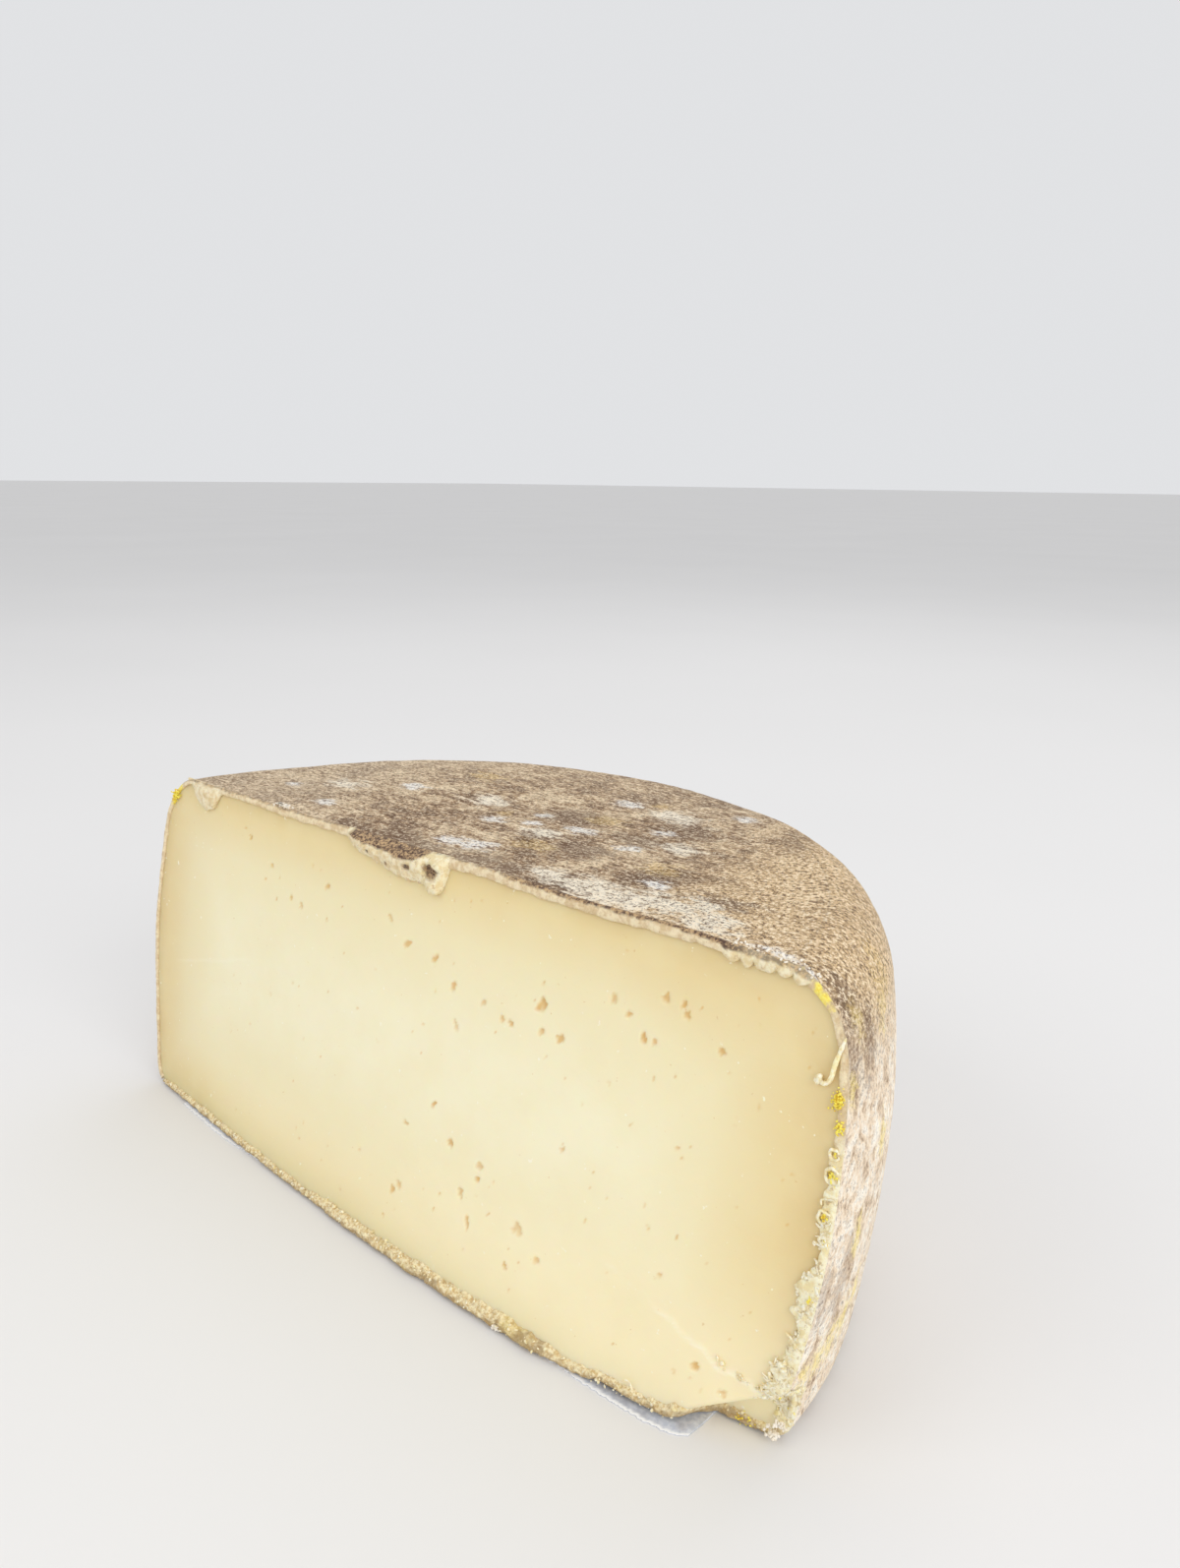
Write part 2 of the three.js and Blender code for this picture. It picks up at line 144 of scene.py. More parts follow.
def cut_face(x, z):
    """Y of the cut at a place on it, without its fine relief."""
    across = x / WHEEL_RADIUS
    fall = 1 - np.clip(z / HEIGHT, 0, 1)
    bulge = CUT_BULGE * np.maximum(0, 1 - across * across) * (1 + CUT_BULGE_SKEW * across)
    lean = CUT_LEAN + CUT_TWIST * across
    wave = CUT_WAVE_HEIGHT * unevenness(x, 0, z, CUT_WAVE_LENGTH)
    return CUT_TOP_LINE - (lean + bulge) * fall + wave + broken_corner(x, z)


def half_width(z, side, inset=0.0):
    """X where the cut meets the wall at a height, on the left (-1) or the right (1)."""
    radius = wheel_radius(z) - inset
    x = side * radius
    for _ in range(6):
        x = side * np.sqrt(np.maximum(radius**2 - cut_face(x, z) ** 2, 1))
    return x


def wall_heights(count):
    """Heights up the wall at even steps of length along its curve, from the base to the flat top."""
    fine = np.concatenate([
        BASE_LEVEL + BASE_ROUND * (1 - np.cos(np.linspace(0, math.pi / 2, 60))),
        np.linspace(BASE_LEVEL + BASE_ROUND, HEIGHT - SHOULDER_DROP, 200)[1:],
        HEIGHT - SHOULDER_DROP + SHOULDER_DROP * np.sin(np.linspace(0, math.pi / 2, 120))[1:],
    ])
    steps = np.hypot(np.diff(fine), np.diff(wheel_radius(fine)))
    run = np.concatenate([[0], np.cumsum(steps)])
    return np.interp(np.linspace(0, run[-1], count), run, fine)


def mesh_piece(name, points, faces, fields=None):
    """Mesh object from millimetre points and faces, welded, facing out, with named point values.
    Nothing reaches out of the CAD part's box."""
    points = np.clip(points, BOX_LOW, BOX_HIGH)
    mesh = bpy.data.meshes.new(name)
    mesh.from_pydata((points * 0.001).tolist(), [], faces)
    for field, values in (fields or {}).items():
        layer = mesh.attributes.new(field, "FLOAT", "POINT")
        layer.data.foreach_set("value", np.asarray(values, np.float32))
    sculpt = bmesh.new()
    sculpt.from_mesh(mesh)
    bmesh.ops.remove_doubles(sculpt, verts=sculpt.verts, dist=WELD_METRES)
    if sculpt.calc_volume(signed=True) < 0:
        bmesh.ops.reverse_faces(sculpt, faces=sculpt.faces)
    sculpt.to_mesh(mesh)
    sculpt.free()
    mesh.shade_smooth()
    piece = bpy.data.objects.new(name, mesh)
    bpy.context.scene.collection.objects.link(piece)
    return piece


def border(rows, columns, start=0):
    """Numbers of the points round a grid's edge, in order."""
    number = np.arange(rows * columns).reshape(rows, columns) + start
    return np.concatenate([number[0, :-1], number[:-1, -1], number[-1, :0:-1], number[:0:-1, 0]])


def backed_sheet(front, back, step):
    """Points and faces of a closed solid: a fine front grid, and a back grid with every step-th line."""
    rows, columns = front.shape[:2]
    back_rows, back_columns = back.shape[:2]
    shift = rows * columns
    faces = []
    for count_r, count_c, start, turn in ((rows, columns, 0, 1), (back_rows, back_columns, shift, -1)):
        number = np.arange(count_r * count_c).reshape(count_r, count_c) + start
        quads = np.stack([number[:-1, :-1], number[:-1, 1:], number[1:, 1:], number[1:, :-1]], -1)
        faces.extend(quads.reshape(-1, 4)[:, ::turn].tolist())
    outer = border(rows, columns)
    inner = border(back_rows, back_columns, shift)
    for k in range(len(inner)):
        here, after = inner[k], inner[(k + 1) % len(inner)]
        for i in range(step):
            a, b = outer[(k * step + i) % len(outer)], outer[(k * step + i + 1) % len(outer)]
            faces.append([int(b), int(a), int(here if i < step // 2 else after)])
            if i == step // 2:
                faces.append([int(a), int(here), int(after)])
    return np.concatenate([front.reshape(-1, 3), back.reshape(-1, 3)]), faces


class Value:
    """A number that varies over a surface. Sums and products of values add Math nodes."""

    def __init__(self, finish, socket):
        self.finish, self.socket = finish, socket

    def math(self, operation, first, second):
        return self.finish.node("ShaderNodeMath", {0: first, 1: second}, operation=operation)

    def __add__(self, other):
        return self.math("ADD", self, other)

    def __sub__(self, other):
        return self.math("SUBTRACT", self, other)

    def __rsub__(self, other):
        return self.math("SUBTRACT", other, self)

    def __mul__(self, other):
        return self.math("MULTIPLY", self, other)

    def __truediv__(self, other):
        return self.math("DIVIDE", self, other)

    __radd__, __rmul__ = __add__, __mul__


class Finish:
    """A material made of nodes. Each node comes from one method, which returns its first output."""

    def __init__(self, name):
        self.material = bpy.data.materials.new(name)
        self.material.use_nodes = True
        self.tree = self.material.node_tree
        self.shader = next(n for n in self.tree.nodes if n.type == "BSDF_PRINCIPLED")

    def set_input(self, socket, value):
        if isinstance(value, Value):
            self.tree.links.new(value.socket, socket)
        else:
            socket.default_value = value

    def node(self, kind, inputs, output=0, stops=(), **settings):
        node = self.tree.nodes.new(kind)
        for name, value in settings.items():
            setattr(node, name, value)
        for k, (position, color) in enumerate(stops):
            if k > 1:
                node.color_ramp.elements.new(position)
            node.color_ramp.elements[k].position = position
            node.color_ramp.elements[k].color = color
        for name, value in inputs.items():
            self.set_input(node.inputs[name], value)
        return Value(self, node.outputs[output])

    def place(self):
        return self.node("ShaderNodeTexCoord", {}, "Object")

    def field(self, name):
        """Values that the mesh stores at its points."""
        return self.node("ShaderNodeAttribute", {}, "Fac", attribute_name=name)

    def noise(self, size_mm, detail=3.0, roughness=0.55, place=None, distortion=0.0, seed=0.0):
        """Noise from 0 to 1 with lumps of about that size; the seed moves it elsewhere."""
        moved = self.node("ShaderNodeVectorMath", {0: place or self.place(), 1: (seed, 2 * seed, -seed)},
                          operation="ADD")
        return self.node("ShaderNodeTexNoise", {"Vector": moved, "Scale": 1000 / size_mm, "Detail": detail,
                         "Roughness": roughness, "Distortion": distortion}, "Fac")

    def between(self, value, low, high):
        """0 below low, 1 above high, and a smooth rise between."""
        return self.node("ShaderNodeMapRange", {0: value, 1: low, 2: high, 3: 0.0, 4: 1.0},
                         interpolation_type="SMOOTHSTEP")

    def mix(self, share, first, second):
        """Colour between two colours."""
        return self.node("ShaderNodeMix", {0: share, 6: first, 7: second}, 2, data_type="RGBA")

    def ramp(self, value, stops):
        return self.node("ShaderNodeValToRGB", {0: value}, stops=stops)

    def bump(self, height, distance_mm, strength):
        inputs = {"Height": height, "Distance": distance_mm * 0.001, "Strength": strength}
        return self.node("ShaderNodeBump", inputs)

    def put_on(self, piece, **sockets):
        """Sets the shader's sockets, such as Base_Color, and gives the material to the piece."""
        for name, value in sockets.items():
            self.set_input(self.shader.inputs[name.replace("_", " ")], value)
        piece.data.materials.append(self.material)


def paint(red, green, blue):
    """Colour from its three levels, 0 to 255, as seen on a screen."""
    levels = [c / 255 for c in (red, green, blue)]
    return (*(c / 12.92 if c < 0.04045 else ((c + 0.055) / 1.055) ** 2.4 for c in levels), 1.0)


# Eyes of the paste: x, z, radius and how far each is drawn out, on the cut
EYES = (
    (47, 77, 1.7, 1.2), (9, 78, 1.2, 1.3), (17, 73, 1.2, 1.3), (54, 71, 1.4, 1.1), (48, 71, 0.9, 1.3),
    (67, 84, 1.2, 1.2), (72, 82, 0.8, 1.5), (81, 88, 1.3, 1.0), (86, 88, 0.8, 1.6), (87, 86, 1.0, 1.2),
    (77, 78, 1.2, 1.3), (80, 78, 0.7, 1.2), (97, 81, 0.9, 1.5), (28, 72, 1.0, 1.2), (35, 70, 0.9, 1.2),
    (38, 70, 0.9, 1.3), (20, 64, 0.7, 2.6), (-2, 79, 0.9, 2.8), (-10, 84, 0.7, 2.2), (-38, 86, 1.0, 1.4),
    (-49, 78, 0.8, 1.3), (-54, 79, 0.7, 1.2), (-65, 86, 0.6, 1.4), (-77, 92, 0.7, 1.3), (17, 43, 0.9, 1.3),
    (8, 35, 0.7, 1.5), (25, 36, 1.3, 1.1), (36, 34, 1.3, 1.2), (36, 31, 0.8, 1.4), (31, 26, 1.2, 1.2),
    (35, 20, 0.7, 2.8), (51, 25, 1.5, 1.1), (58, 20, 1.0, 1.3), (49, 15, 0.7, 1.5), (9, 19, 0.9, 1.6),
    (7, 17, 1.0, 1.5), (91, 30, 0.6, 1.2), (103, 15, 1.1, 1.2), (110, 12, 0.9, 1.2), (60, 47, 0.6, 1.3),
)
EYE_CORE, EYE_RIM, EYE_PARTS, PART_SIZE, PART_SPREAD = 0.6, 0.28, 3, (0.25, 0.5), 0.8
PIN_HOLES = 130
PIN_HOLE_RADIUS = (0.2, 0.45)
PIN_HOLES_RIGHT, PIN_HOLES_ACROSS = 118, 200
PIN_HOLES_LOW, PIN_HOLES_UP = 8, 88
EYE_DEPTH = 0.6
EYE_EDGE = (0.5, 1.05)
PASTE_COLUMNS, PASTE_ROWS, BACK_STEP = 461, 181, 10
PASTE_INSET = 0.9
OUTLINE_POINTS, OUTLINE_STEP = 240, 4
KNIFE_LINE = ((74, 28), (77, 26.9), (89, 23.7), (97.7, 20.7), (105, 19), (109, 17), (115, 16.4), (120, 15.5))
KNIFE_STEP, SMEAR_HEIGHT, SMEAR_WIDTH = 0.4, 0.15, 0.45
OLD_MARK = ((-113, 44), (-100, 47.5), (-84, 52), (-71, 56))


def eye_relief(x, z):
    """Depth of the eyes at places on the cut in millimetres, and how far inside an eye each place is."""
    rng = np.random.default_rng(5)
    holes = []
    for hx, hz, radius, long in EYES:
        strength = rng.uniform(0.55, 1)
        holes.append((hx, hz, EYE_RIM + EYE_CORE * radius, long, strength))
        for _ in range(EYE_PARTS):
            beside_x, beside_z = rng.uniform(-1, 1, 2) * PART_SPREAD * radius
            holes.append((hx + beside_x, hz + beside_z, radius * rng.uniform(*PART_SIZE), 1.2, strength))
    for _ in range(PIN_HOLES):
        hx = PIN_HOLES_RIGHT - PIN_HOLES_ACROSS * rng.random() ** 1.2
        radius = rng.uniform(*PIN_HOLE_RADIUS)
        hz = PIN_HOLES_LOW + PIN_HOLES_UP * rng.random()
        holes.append((hx, hz, radius, rng.uniform(1, 1.8), rng.uniform(0.3, 0.9)))
    deep, inside = np.zeros_like(x), np.zeros_like(x)
    for hx, hz, radius, long, strength in holes:
        turn, phase, second = rng.random(3) * TAU
        near = (abs(x - hx) < 2.2 * radius * long) & (abs(z - hz) < 2.2 * radius * long)
        dx, dz = x[near] - hx, z[near] - hz
        along = (dx * math.cos(turn) + dz * math.sin(turn)) / long
        side = dz * math.cos(turn) - dx * math.sin(turn)
        angle = np.arctan2(side, along)
        edge = 1 + 0.25 * np.sin(2 * angle + phase) + 0.13 * np.sin(3 * angle + second)
        reach = np.hypot(along, side) / (radius * edge)
        hollow = 1 - smooth_step(*EYE_EDGE, reach)
        deep[near] = np.maximum(deep[near], EYE_DEPTH * radius * hollow)
        inside[near] = np.maximum(inside[near], strength * hollow)
    return deep, inside


def cut_outline(count):
    """Line round the cut, as x and z, from the base's left end up, across the top, down and back."""
    z = wall_heights(count)
    left = np.stack([half_width(z, -1), z], -1)
    right = np.stack([half_width(z, 1), z], -1)
    across = np.linspace(0, 1, 2 * count)[1:-1, None]
    top = left[-1] * (1 - across) + right[-1] * across
    base = right[0] * (1 - across) + left[0] * across
    return np.concatenate([left, top, right[::-1], base])


def distance_to_line(points, line):
    """Least distance from each point to a line of points."""
    least = np.full(len(points), np.inf)
    for a, b in zip(line[:-1], line[1:]):
        along = b - a
        t = np.clip(((points - a) @ along) / max(along @ along, 1e-12), 0, 1)
        least = np.minimum(least, np.linalg.norm(points - a - t[:, None] * along, axis=1))
    return least


paste_z = np.interp(np.linspace(0, 1, PASTE_ROWS), np.linspace(0, 1, 400), wall_heights(400))
paste_z = 0.5 * paste_z + 0.5 * np.linspace(BASE_LEVEL, HEIGHT, PASTE_ROWS)
paste_z = np.clip(paste_z, BASE_LEVEL + PASTE_INSET, HEIGHT - PASTE_INSET)
share = np.linspace(0, 1, PASTE_COLUMNS)
row_left, row_right = half_width(paste_z, -1, PASTE_INSET), half_width(paste_z, 1, PASTE_INSET)
face_x = row_left[:, None] * (1 - share) + row_right[:, None] * share
face_z = np.repeat(paste_z[:, None], PASTE_COLUMNS, axis=1)
eye_depth, in_eye = eye_relief(face_x, face_z)
outline = cut_outline(OUTLINE_POINTS)[::OUTLINE_STEP]
outline = np.concatenate([outline, outline[:1]])
depth_in = distance_to_line(np.stack([face_x.ravel(), face_z.ravel()], -1), outline).reshape(face_x.shape)
knife_x, knife_z = np.array(KNIFE_LINE).T
flat_points = np.stack([face_x, np.zeros_like(face_x), face_z], -1)
wander = 1.3 * grain(flat_points * (1, 1, 0), 4, 6, 3)
above_knife = face_z - np.interp(face_x, knife_x, knife_z) - wander
below_knife = smooth_step(0.3, -0.3, above_knife) * smooth_step(80, 108, face_x)
broken = smooth_step(-0.6, 0.6, grain(flat_points, 3, 7, 3) + (face_x - 96) / 30)
broken *= smooth_step(73, 78, face_x)
smear = np.exp(-((above_knife / SMEAR_WIDTH) ** 2)) * broken
above_mark = face_z - np.interp(face_x, *np.array(OLD_MARK).T) - 0.3 * wander
along_mark = smooth_step(-116, -108, face_x) * smooth_step(-66, -80, face_x)
smear += 0.4 * np.exp(-((above_mark / SMEAR_WIDTH) ** 2)) * along_mark
face_y = cut_face(face_x, face_z) + eye_depth - KNIFE_STEP * below_knife - SMEAR_HEIGHT * smear
face_y += 0.05 * grain(flat_points, 7, 3, 2) + 0.02 * grain(flat_points, 1.6, 4)
front = np.stack([face_x, face_y, face_z], -1)
back_x, back_z = face_x[::BACK_STEP, ::BACK_STEP], face_z[::BACK_STEP, ::BACK_STEP]
back_x = back_x * 0.985
back_z = BASE_LEVEL + PASTE_INSET + (back_z - BASE_LEVEL - PASTE_INSET) * 0.975
back_radius = wheel_radius(back_z) - 2
back_y = np.sqrt(np.maximum(back_radius**2 - back_x**2, (cut_face(back_x, back_z) + 1.5) ** 2))
back = np.stack([back_x, back_y, back_z], -1)
paste_points, paste_faces = backed_sheet(front, back, BACK_STEP)
unseen = np.zeros(back.shape[0] * back.shape[1])
paste = mesh_piece("paste", paste_points, paste_faces, {
    "depth_in": np.concatenate([depth_in.ravel(), unseen]),
    "in_eye": np.concatenate([in_eye.ravel(), unseen]),
    "smear": np.concatenate([smear.ravel(), unseen]),
})
finish = Finish("paste")
place = finish.place()
from_left = finish.node("ShaderNodeSeparateXYZ", {0: place}, 0)
height = finish.node("ShaderNodeSeparateXYZ", {0: place}, 2)
dry_side = finish.between(from_left, 0.055, 0.115)
depth = (finish.field("depth_in") + 4 * (finish.noise(30, 2) - 0.5)) * (1 - 0.45 * dry_side)
ivory = finish.ramp(depth / 60, [
    (0.0, paint(204, 172, 112)), (0.03, paint(222, 196, 140)), (0.11, paint(233, 212, 158)),
    (0.33, paint(240, 228, 186)), (0.75, paint(245, 237, 203)),
])
# Painted light: the low part of the cut, right of x = -50 mm, is painted brighter, more so right of the
# middle.
low = finish.between(height, 0.05, 0.006) * finish.between(from_left, -0.02, 0.04)
ivory = finish.mix(0.55 * low, ivory, paint(255, 244, 208))
painted_light_at_foot = finish.between(height, 0.034, 0.012) * finish.between(from_left, -0.1, -0.05)
ivory = finish.mix(0.45 * painted_light_at_foot, ivory, paint(250, 236, 196))
far_left = finish.between(from_left, -0.085, -0.122)
ivory = finish.mix(0.3 * far_left, ivory, paint(216, 192, 142))
# Greener and darker along the lowest 14 mm of the cut, fading out towards the right.
greener_near_foot = finish.between(height, 0.014, 0.002) * finish.between(from_left, 0.09, 0.03)
ivory = finish.mix(0.35 * greener_near_foot, ivory, paint(214, 204, 150))
cloud = finish.noise(16, 3, seed=3)
ivory = finish.mix(0.3 * finish.between(cloud, 0.35, 0.75), ivory, paint(238, 225, 180))
ivory = finish.mix(0.8 * finish.field("in_eye"), ivory, paint(220, 174, 88))
pale_specks = finish.between(finish.noise(1.7, 2, seed=8), 0.71, 0.76)
ivory = finish.mix(0.7 * pale_specks, ivory, paint(252, 247, 228))
brown_specks = finish.between(finish.noise(1.3, 2, seed=9), 0.73, 0.78)
ivory = finish.mix(0.5 * brown_specks, ivory, paint(216, 180, 116))
ivory = finish.mix(0.45 * finish.field("smear"), ivory, paint(252, 247, 226))
marks = finish.noise(1.2, 4, 0.6, seed=7)
finish.put_on(
    paste,
    Base_Color=ivory,
    Roughness=0.45 + 0.2 * cloud,
    Normal=finish.bump(marks, 0.1, 0.4),
    Subsurface_Weight=0.35,
    Subsurface_Radius=(0.006, 0.004, 0.0018),
    Subsurface_Scale=1.0,
)
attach(paste, "root")
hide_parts("cheese")


# Rind: the wheel's own dry skin, rubbed and turned while it aged, about a millimetre of hard crust.
# Sandy brown grain on top with white, cream, dark and golden patches. The wall is paler and pinkish,
# with streaks of mould that run up and down.
RIND_THICKNESS = 1.2
RIND_STEP = 6
BASE_BACK = 3.0
WALL_COLUMNS, WALL_ROWS = 553, 151
TOP_COLUMNS, TOP_ROWS = 433, 133
BASE_COLUMNS, BASE_ROWS = 133, 61
GRAIN_HEIGHT, PIT_DEPTH = 0.22, 0.9
SPOT_STRETCH = (0.7, 1.0, 0.55)
# Patches: the middle and radius of each spot
WHITE_SPOTS = (
    (-3, 23, 104, 4.5), (7, 25, 104, 5), (-9, 46, 104, 4), (-1, 58, 104, 3), (3, 50, 104, 3.5),
    (11, 84, 104, 4.5), (-52, 54, 104, 4.5), (37, 67, 104, 3.5), (38, 49, 104, 3.5), (19, 53, 104, 4),
    (46, 93, 104, 3.5), (61, 31, 104, 3.5), (-84, 32, 104, 3), (-58, 24, 104, 3.5), (101, 15, 104, 3),
    (107, 14, 103, 3), (112, 13, 101, 2.5),
)
CREAM_SPOTS = (
    (37, 19, 104, 6), (47, 19, 104, 8), (56, 18, 104, 9), (65, 20, 104, 10), (74, 22, 104, 10),
    (84, 18, 104, 9), (-70, 42, 104, 7), (30, 82, 104, 8), (48, 58, 104, 6), (12, 44, 104, 6),
    (-24, 60, 104, 7),
)
DARK_SPOTS = (
    (-25, 11, 104, 7), (-15, 13, 104, 9), (-4, 12, 104, 9), (14, 16, 104, 8), (26, 16, 104, 6),
    (35, 13, 104, 4), (29, 40, 104, 9), (9, 62, 104, 11), (41, 72, 104, 9), (37, 57, 104, 8),
    (57, 33, 104, 6), (81, 31, 104, 8), (-35, 11, 104, 4), (121, 17, 97, 6), (124, 22, 86, 6),
    (125, 11, 87, 5), (127, 3, 38, 5), (126, 11, 35, 6), (126, 14, 41, 5), (127, 8, 71, 1.2),
)
GOLD_SPOTS = (
    (-45, 80, 104, 6), (-11, 53, 104, 3), (19, 89, 104, 3), (18, 65, 104, 6), (56, 40, 104, 5),
    (17, 35, 104, 6), (115, 42, 94, 5), (118, 37, 92, 5), (120, 34, 88, 4), (122, 18, 93, 3.5),
    (125, 11, 81, 3), (124, 31, 61, 4), (126, 18, 44, 4), (125, 1, 18, 3.5), (125, 7, 19, 4),
    (124, 13, 20, 4), (123, 19, 22, 4), (121, 26, 25, 4),
)


def rind_wave(x, y, z):
    off_base = smooth_step(BASE_LEVEL, BASE_LEVEL + WAVE_FADE, z)
    return RIND_WAVE_HEIGHT * unevenness(x, y, z, RIND_WAVE_LENGTH) * off_base


def weather(points, out):
    """Moves points of the wheel's skin by its waves and its grain, along the way out."""
    wave = rind_wave(*np.moveaxis(points, -1, 0))
    rough = 0.6 * grain(points, 2.6, 11, 3) + 0.4 * grain(points, 9, 12, 2)
    pits = np.maximum(0, grain(points, 5, 13, 2) - 0.25)
    low = GRAIN_HEIGHT * (rough - 0.7) - PIT_DEPTH * pits
    return points + out * (wave + low * smooth_step(0.5, 6, points[..., 2]))[..., None]


def skin_out(points):
    """The way the skin moves: sideways on the wall, up on the top."""
    radius = np.maximum(np.hypot(points[..., 0], points[..., 1]), 1)
    up = smooth_step(HEIGHT - SHOULDER_DROP, HEIGHT, points[..., 2])
    side = points * (1, 1, 0) / radius[..., None]
    return side * (1 - up)[..., None] + np.array([0, 0, 1.0]) * up[..., None]


def near_spots(points, spots):
    """How near each place is to a spot: 1 in its middle, 0 at its rim, and less outside."""
    nearest = np.full(points.shape[:-1], -1.0)
    for *middle, radius in spots:
        away = np.linalg.norm((points - middle) * SPOT_STRETCH, axis=-1)
        nearest = np.maximum(nearest, 1 - away / radius)
    return nearest


def wall_grid(inset, pick):
    """Points of the wall, at every pick-th line, pushed in by an inset."""
    z = wall_heights(WALL_ROWS)[::pick]
    radius = wheel_radius(z)
    ends = [np.arctan2(half_width(z, side), cut_face(half_width(z, side), z)) for side in (-1, 1)]
    share = np.linspace(0, 1, WALL_COLUMNS)[::pick]
    angle = ends[0][:, None] * (1 - share) + ends[1][:, None] * share
    high = np.repeat(z[:, None], len(share), axis=1)
    points = np.stack([radius[:, None] * np.sin(angle), radius[:, None] * np.cos(angle), high], -1)
    return points - inset * skin_out(points)


def flat_grid(z, columns, rows, pick, back=0.0):
    """Points of a flat half disc behind the cut at a height, from behind the cut's line to the rim."""
    radius = float(wheel_radius(np.array(z)))
    left, right = (float(half_width(np.array(z), side)) for side in (-1, 1))
    share = np.linspace(0, 1, columns)[::pick]
    angles = [math.atan2(x, float(cut_face(np.array(x), np.array(z)))) for x in (left, right)]
    angle = angles[0] * (1 - share) + angles[1] * share
    rim = np.stack([radius * np.sin(angle), radius * np.cos(angle)], -1)
    cut_x = left * (1 - share) + right * share
    near = np.stack([cut_x, cut_face(cut_x, z + 0 * cut_x) + back], -1)
    out = np.linspace(0, 1, rows)[::pick, None, None]
    flat = near * (1 - out) + rim * out
    return np.concatenate([flat, np.full(flat.shape[:2] + (1,), z)], -1)


def rind_piece(name, fine, coarse):
    skin = weather(fine, skin_out(fine))
    points, faces = backed_sheet(skin, coarse, RIND_STEP)
    spots = {"white": WHITE_SPOTS, "cream": CREAM_SPOTS, "dark": DARK_SPOTS, "gold": GOLD_SPOTS}
    fields = {kind: near_spots(points, places) for kind, places in spots.items()}
    return mesh_piece(name, points, faces, fields)


rind_wall = rind_piece("rind_wall", wall_grid(0, 1), wall_grid(RIND_THICKNESS, RIND_STEP))
under_top = flat_grid(HEIGHT, TOP_COLUMNS, TOP_ROWS, RIND_STEP) - (0, 0, RIND_THICKNESS)
rind_top = rind_piece("rind_top", flat_grid(HEIGHT, TOP_COLUMNS, TOP_ROWS, 1), under_top)
over_base = flat_grid(BASE_LEVEL, BASE_COLUMNS, BASE_ROWS, RIND_STEP, BASE_BACK) + (0, 0, RIND_THICKNESS)
rind_base = rind_piece("rind_base", flat_grid(BASE_LEVEL, BASE_COLUMNS, BASE_ROWS, 1, BASE_BACK), over_base)
finish = Finish("rind")
place = finish.place()
height = finish.node("ShaderNodeSeparateXYZ", {0: place}, 2)
from_left = finish.node("ShaderNodeSeparateXYZ", {0: place}, 0)
from_cut = finish.node("ShaderNodeSeparateXYZ", {0: place}, 1)
sand = finish.noise(0.95, 4, 0.75, seed=1)
speckle = finish.noise(1.7, 4, 0.7, seed=2)
ragged = finish.noise(4, 5, 0.7, seed=3)
patches = finish.noise(22, 5, 0.6, distortion=0.8, seed=4)
lengthwise = finish.node("ShaderNodeVectorMath", {0: place, 1: (0.35, 1, 1)}, operation="MULTIPLY")
strokes = finish.noise(2.4, 5, 0.7, place=lengthwise, distortion=0.4, seed=6)
lines = finish.noise(1.0, 4, 0.75, place=lengthwise, seed=7)
upright = finish.node("ShaderNodeVectorMath", {0: place, 1: (1, 1, 0.7)}, operation="MULTIPLY")
streaks = finish.noise(5, 5, 0.7, place=upright, distortion=0.8, seed=5)
on_top = finish.between(height + 0.03 * (patches - 0.5) + 0.02 * (ragged - 0.5), 0.07, 0.1)


def patch(kind, strength, soft=0.6, broken=1.0):
    """Share of a patch's colour, broken into strokes, with dark lines left in it."""
    reach = finish.field(kind) + broken * (2.8 * (strokes - 0.5) + 1.6 * (ragged - 0.5))
    return strength * finish.between(reach, 0.0, soft) * finish.between(0.6 * lines + 0.4 * sand, 0.38, 0.49)


top_tone = patches + 0.5 * (ragged - 0.5) + 0.9 * (strokes - 0.5) + 0.3 * (lines - 0.5)
top_color = finish.ramp(top_tone, [
    (0.37, paint(120, 90, 62)), (0.49, paint(176, 144, 108)), (0.63, paint(226, 202, 166)),
])
pale_end = finish.between(from_left + 0.04 * (patches - 0.5), -0.03, -0.085)
pale_back = finish.between(from_cut + 0.04 * (patches - 0.5), 0.06, 0.11)
top_color = finish.mix(0.55 * pale_end, top_color, paint(210, 188, 158))
top_color = finish.mix(0.35 * pale_back, top_color, paint(210, 186, 154))
sandy = finish.between(from_left + 0.06 * (patches - 0.5), 0.045, 0.085)
top_color = finish.mix(0.75 * sandy, top_color, paint(222, 190, 144))
top_color = finish.mix(patch("dark", 0.8), top_color, paint(108, 80, 58))
top_color = finish.mix(patch("cream", 0.95, 0.7), top_color, paint(246, 236, 216))
top_color = finish.mix(patch("gold", 0.4), top_color, paint(222, 186, 104))
top_color = finish.mix(patch("white", 0.9, 0.7), top_color, paint(244, 242, 238))
wall_tone = 0.45 * streaks + 0.35 * ragged + 0.2 * speckle
wall_color = finish.ramp(wall_tone, [
    (0.4, paint(156, 128, 102)), (0.47, paint(238, 216, 188)), (0.55, paint(255, 248, 234)),
])
wall_color = finish.mix(patch("dark", 0.5), wall_color, paint(156, 128, 106))
wall_color = finish.mix(patch("gold", 0.7, 0.9), wall_color, paint(252, 232, 138))
skin_color = finish.mix(on_top, wall_color, top_color)
lined = on_top * (1 - sandy)
skin_color = finish.mix(0.5 * lined * finish.between(lines, 0.53, 0.61), skin_color, paint(244, 226, 196))
skin_color = finish.mix(0.6 * lined * finish.between(lines, 0.47, 0.39), skin_color, paint(92, 68, 48))
grainy = 0.3 + 0.2 * on_top + 0.35 * on_top * sandy
skin_color = finish.mix(grainy * finish.between(sand, 0.53, 0.59), skin_color, paint(255, 238, 208))
skin_color = finish.mix(grainy * finish.between(sand, 0.47, 0.41), skin_color, paint(88, 64, 44))
pepper = finish.between(speckle, 0.55, 0.61) * finish.between(ragged, 0.44, 0.54)
skin_color = finish.mix(0.5 * pepper, skin_color, paint(112, 84, 64))
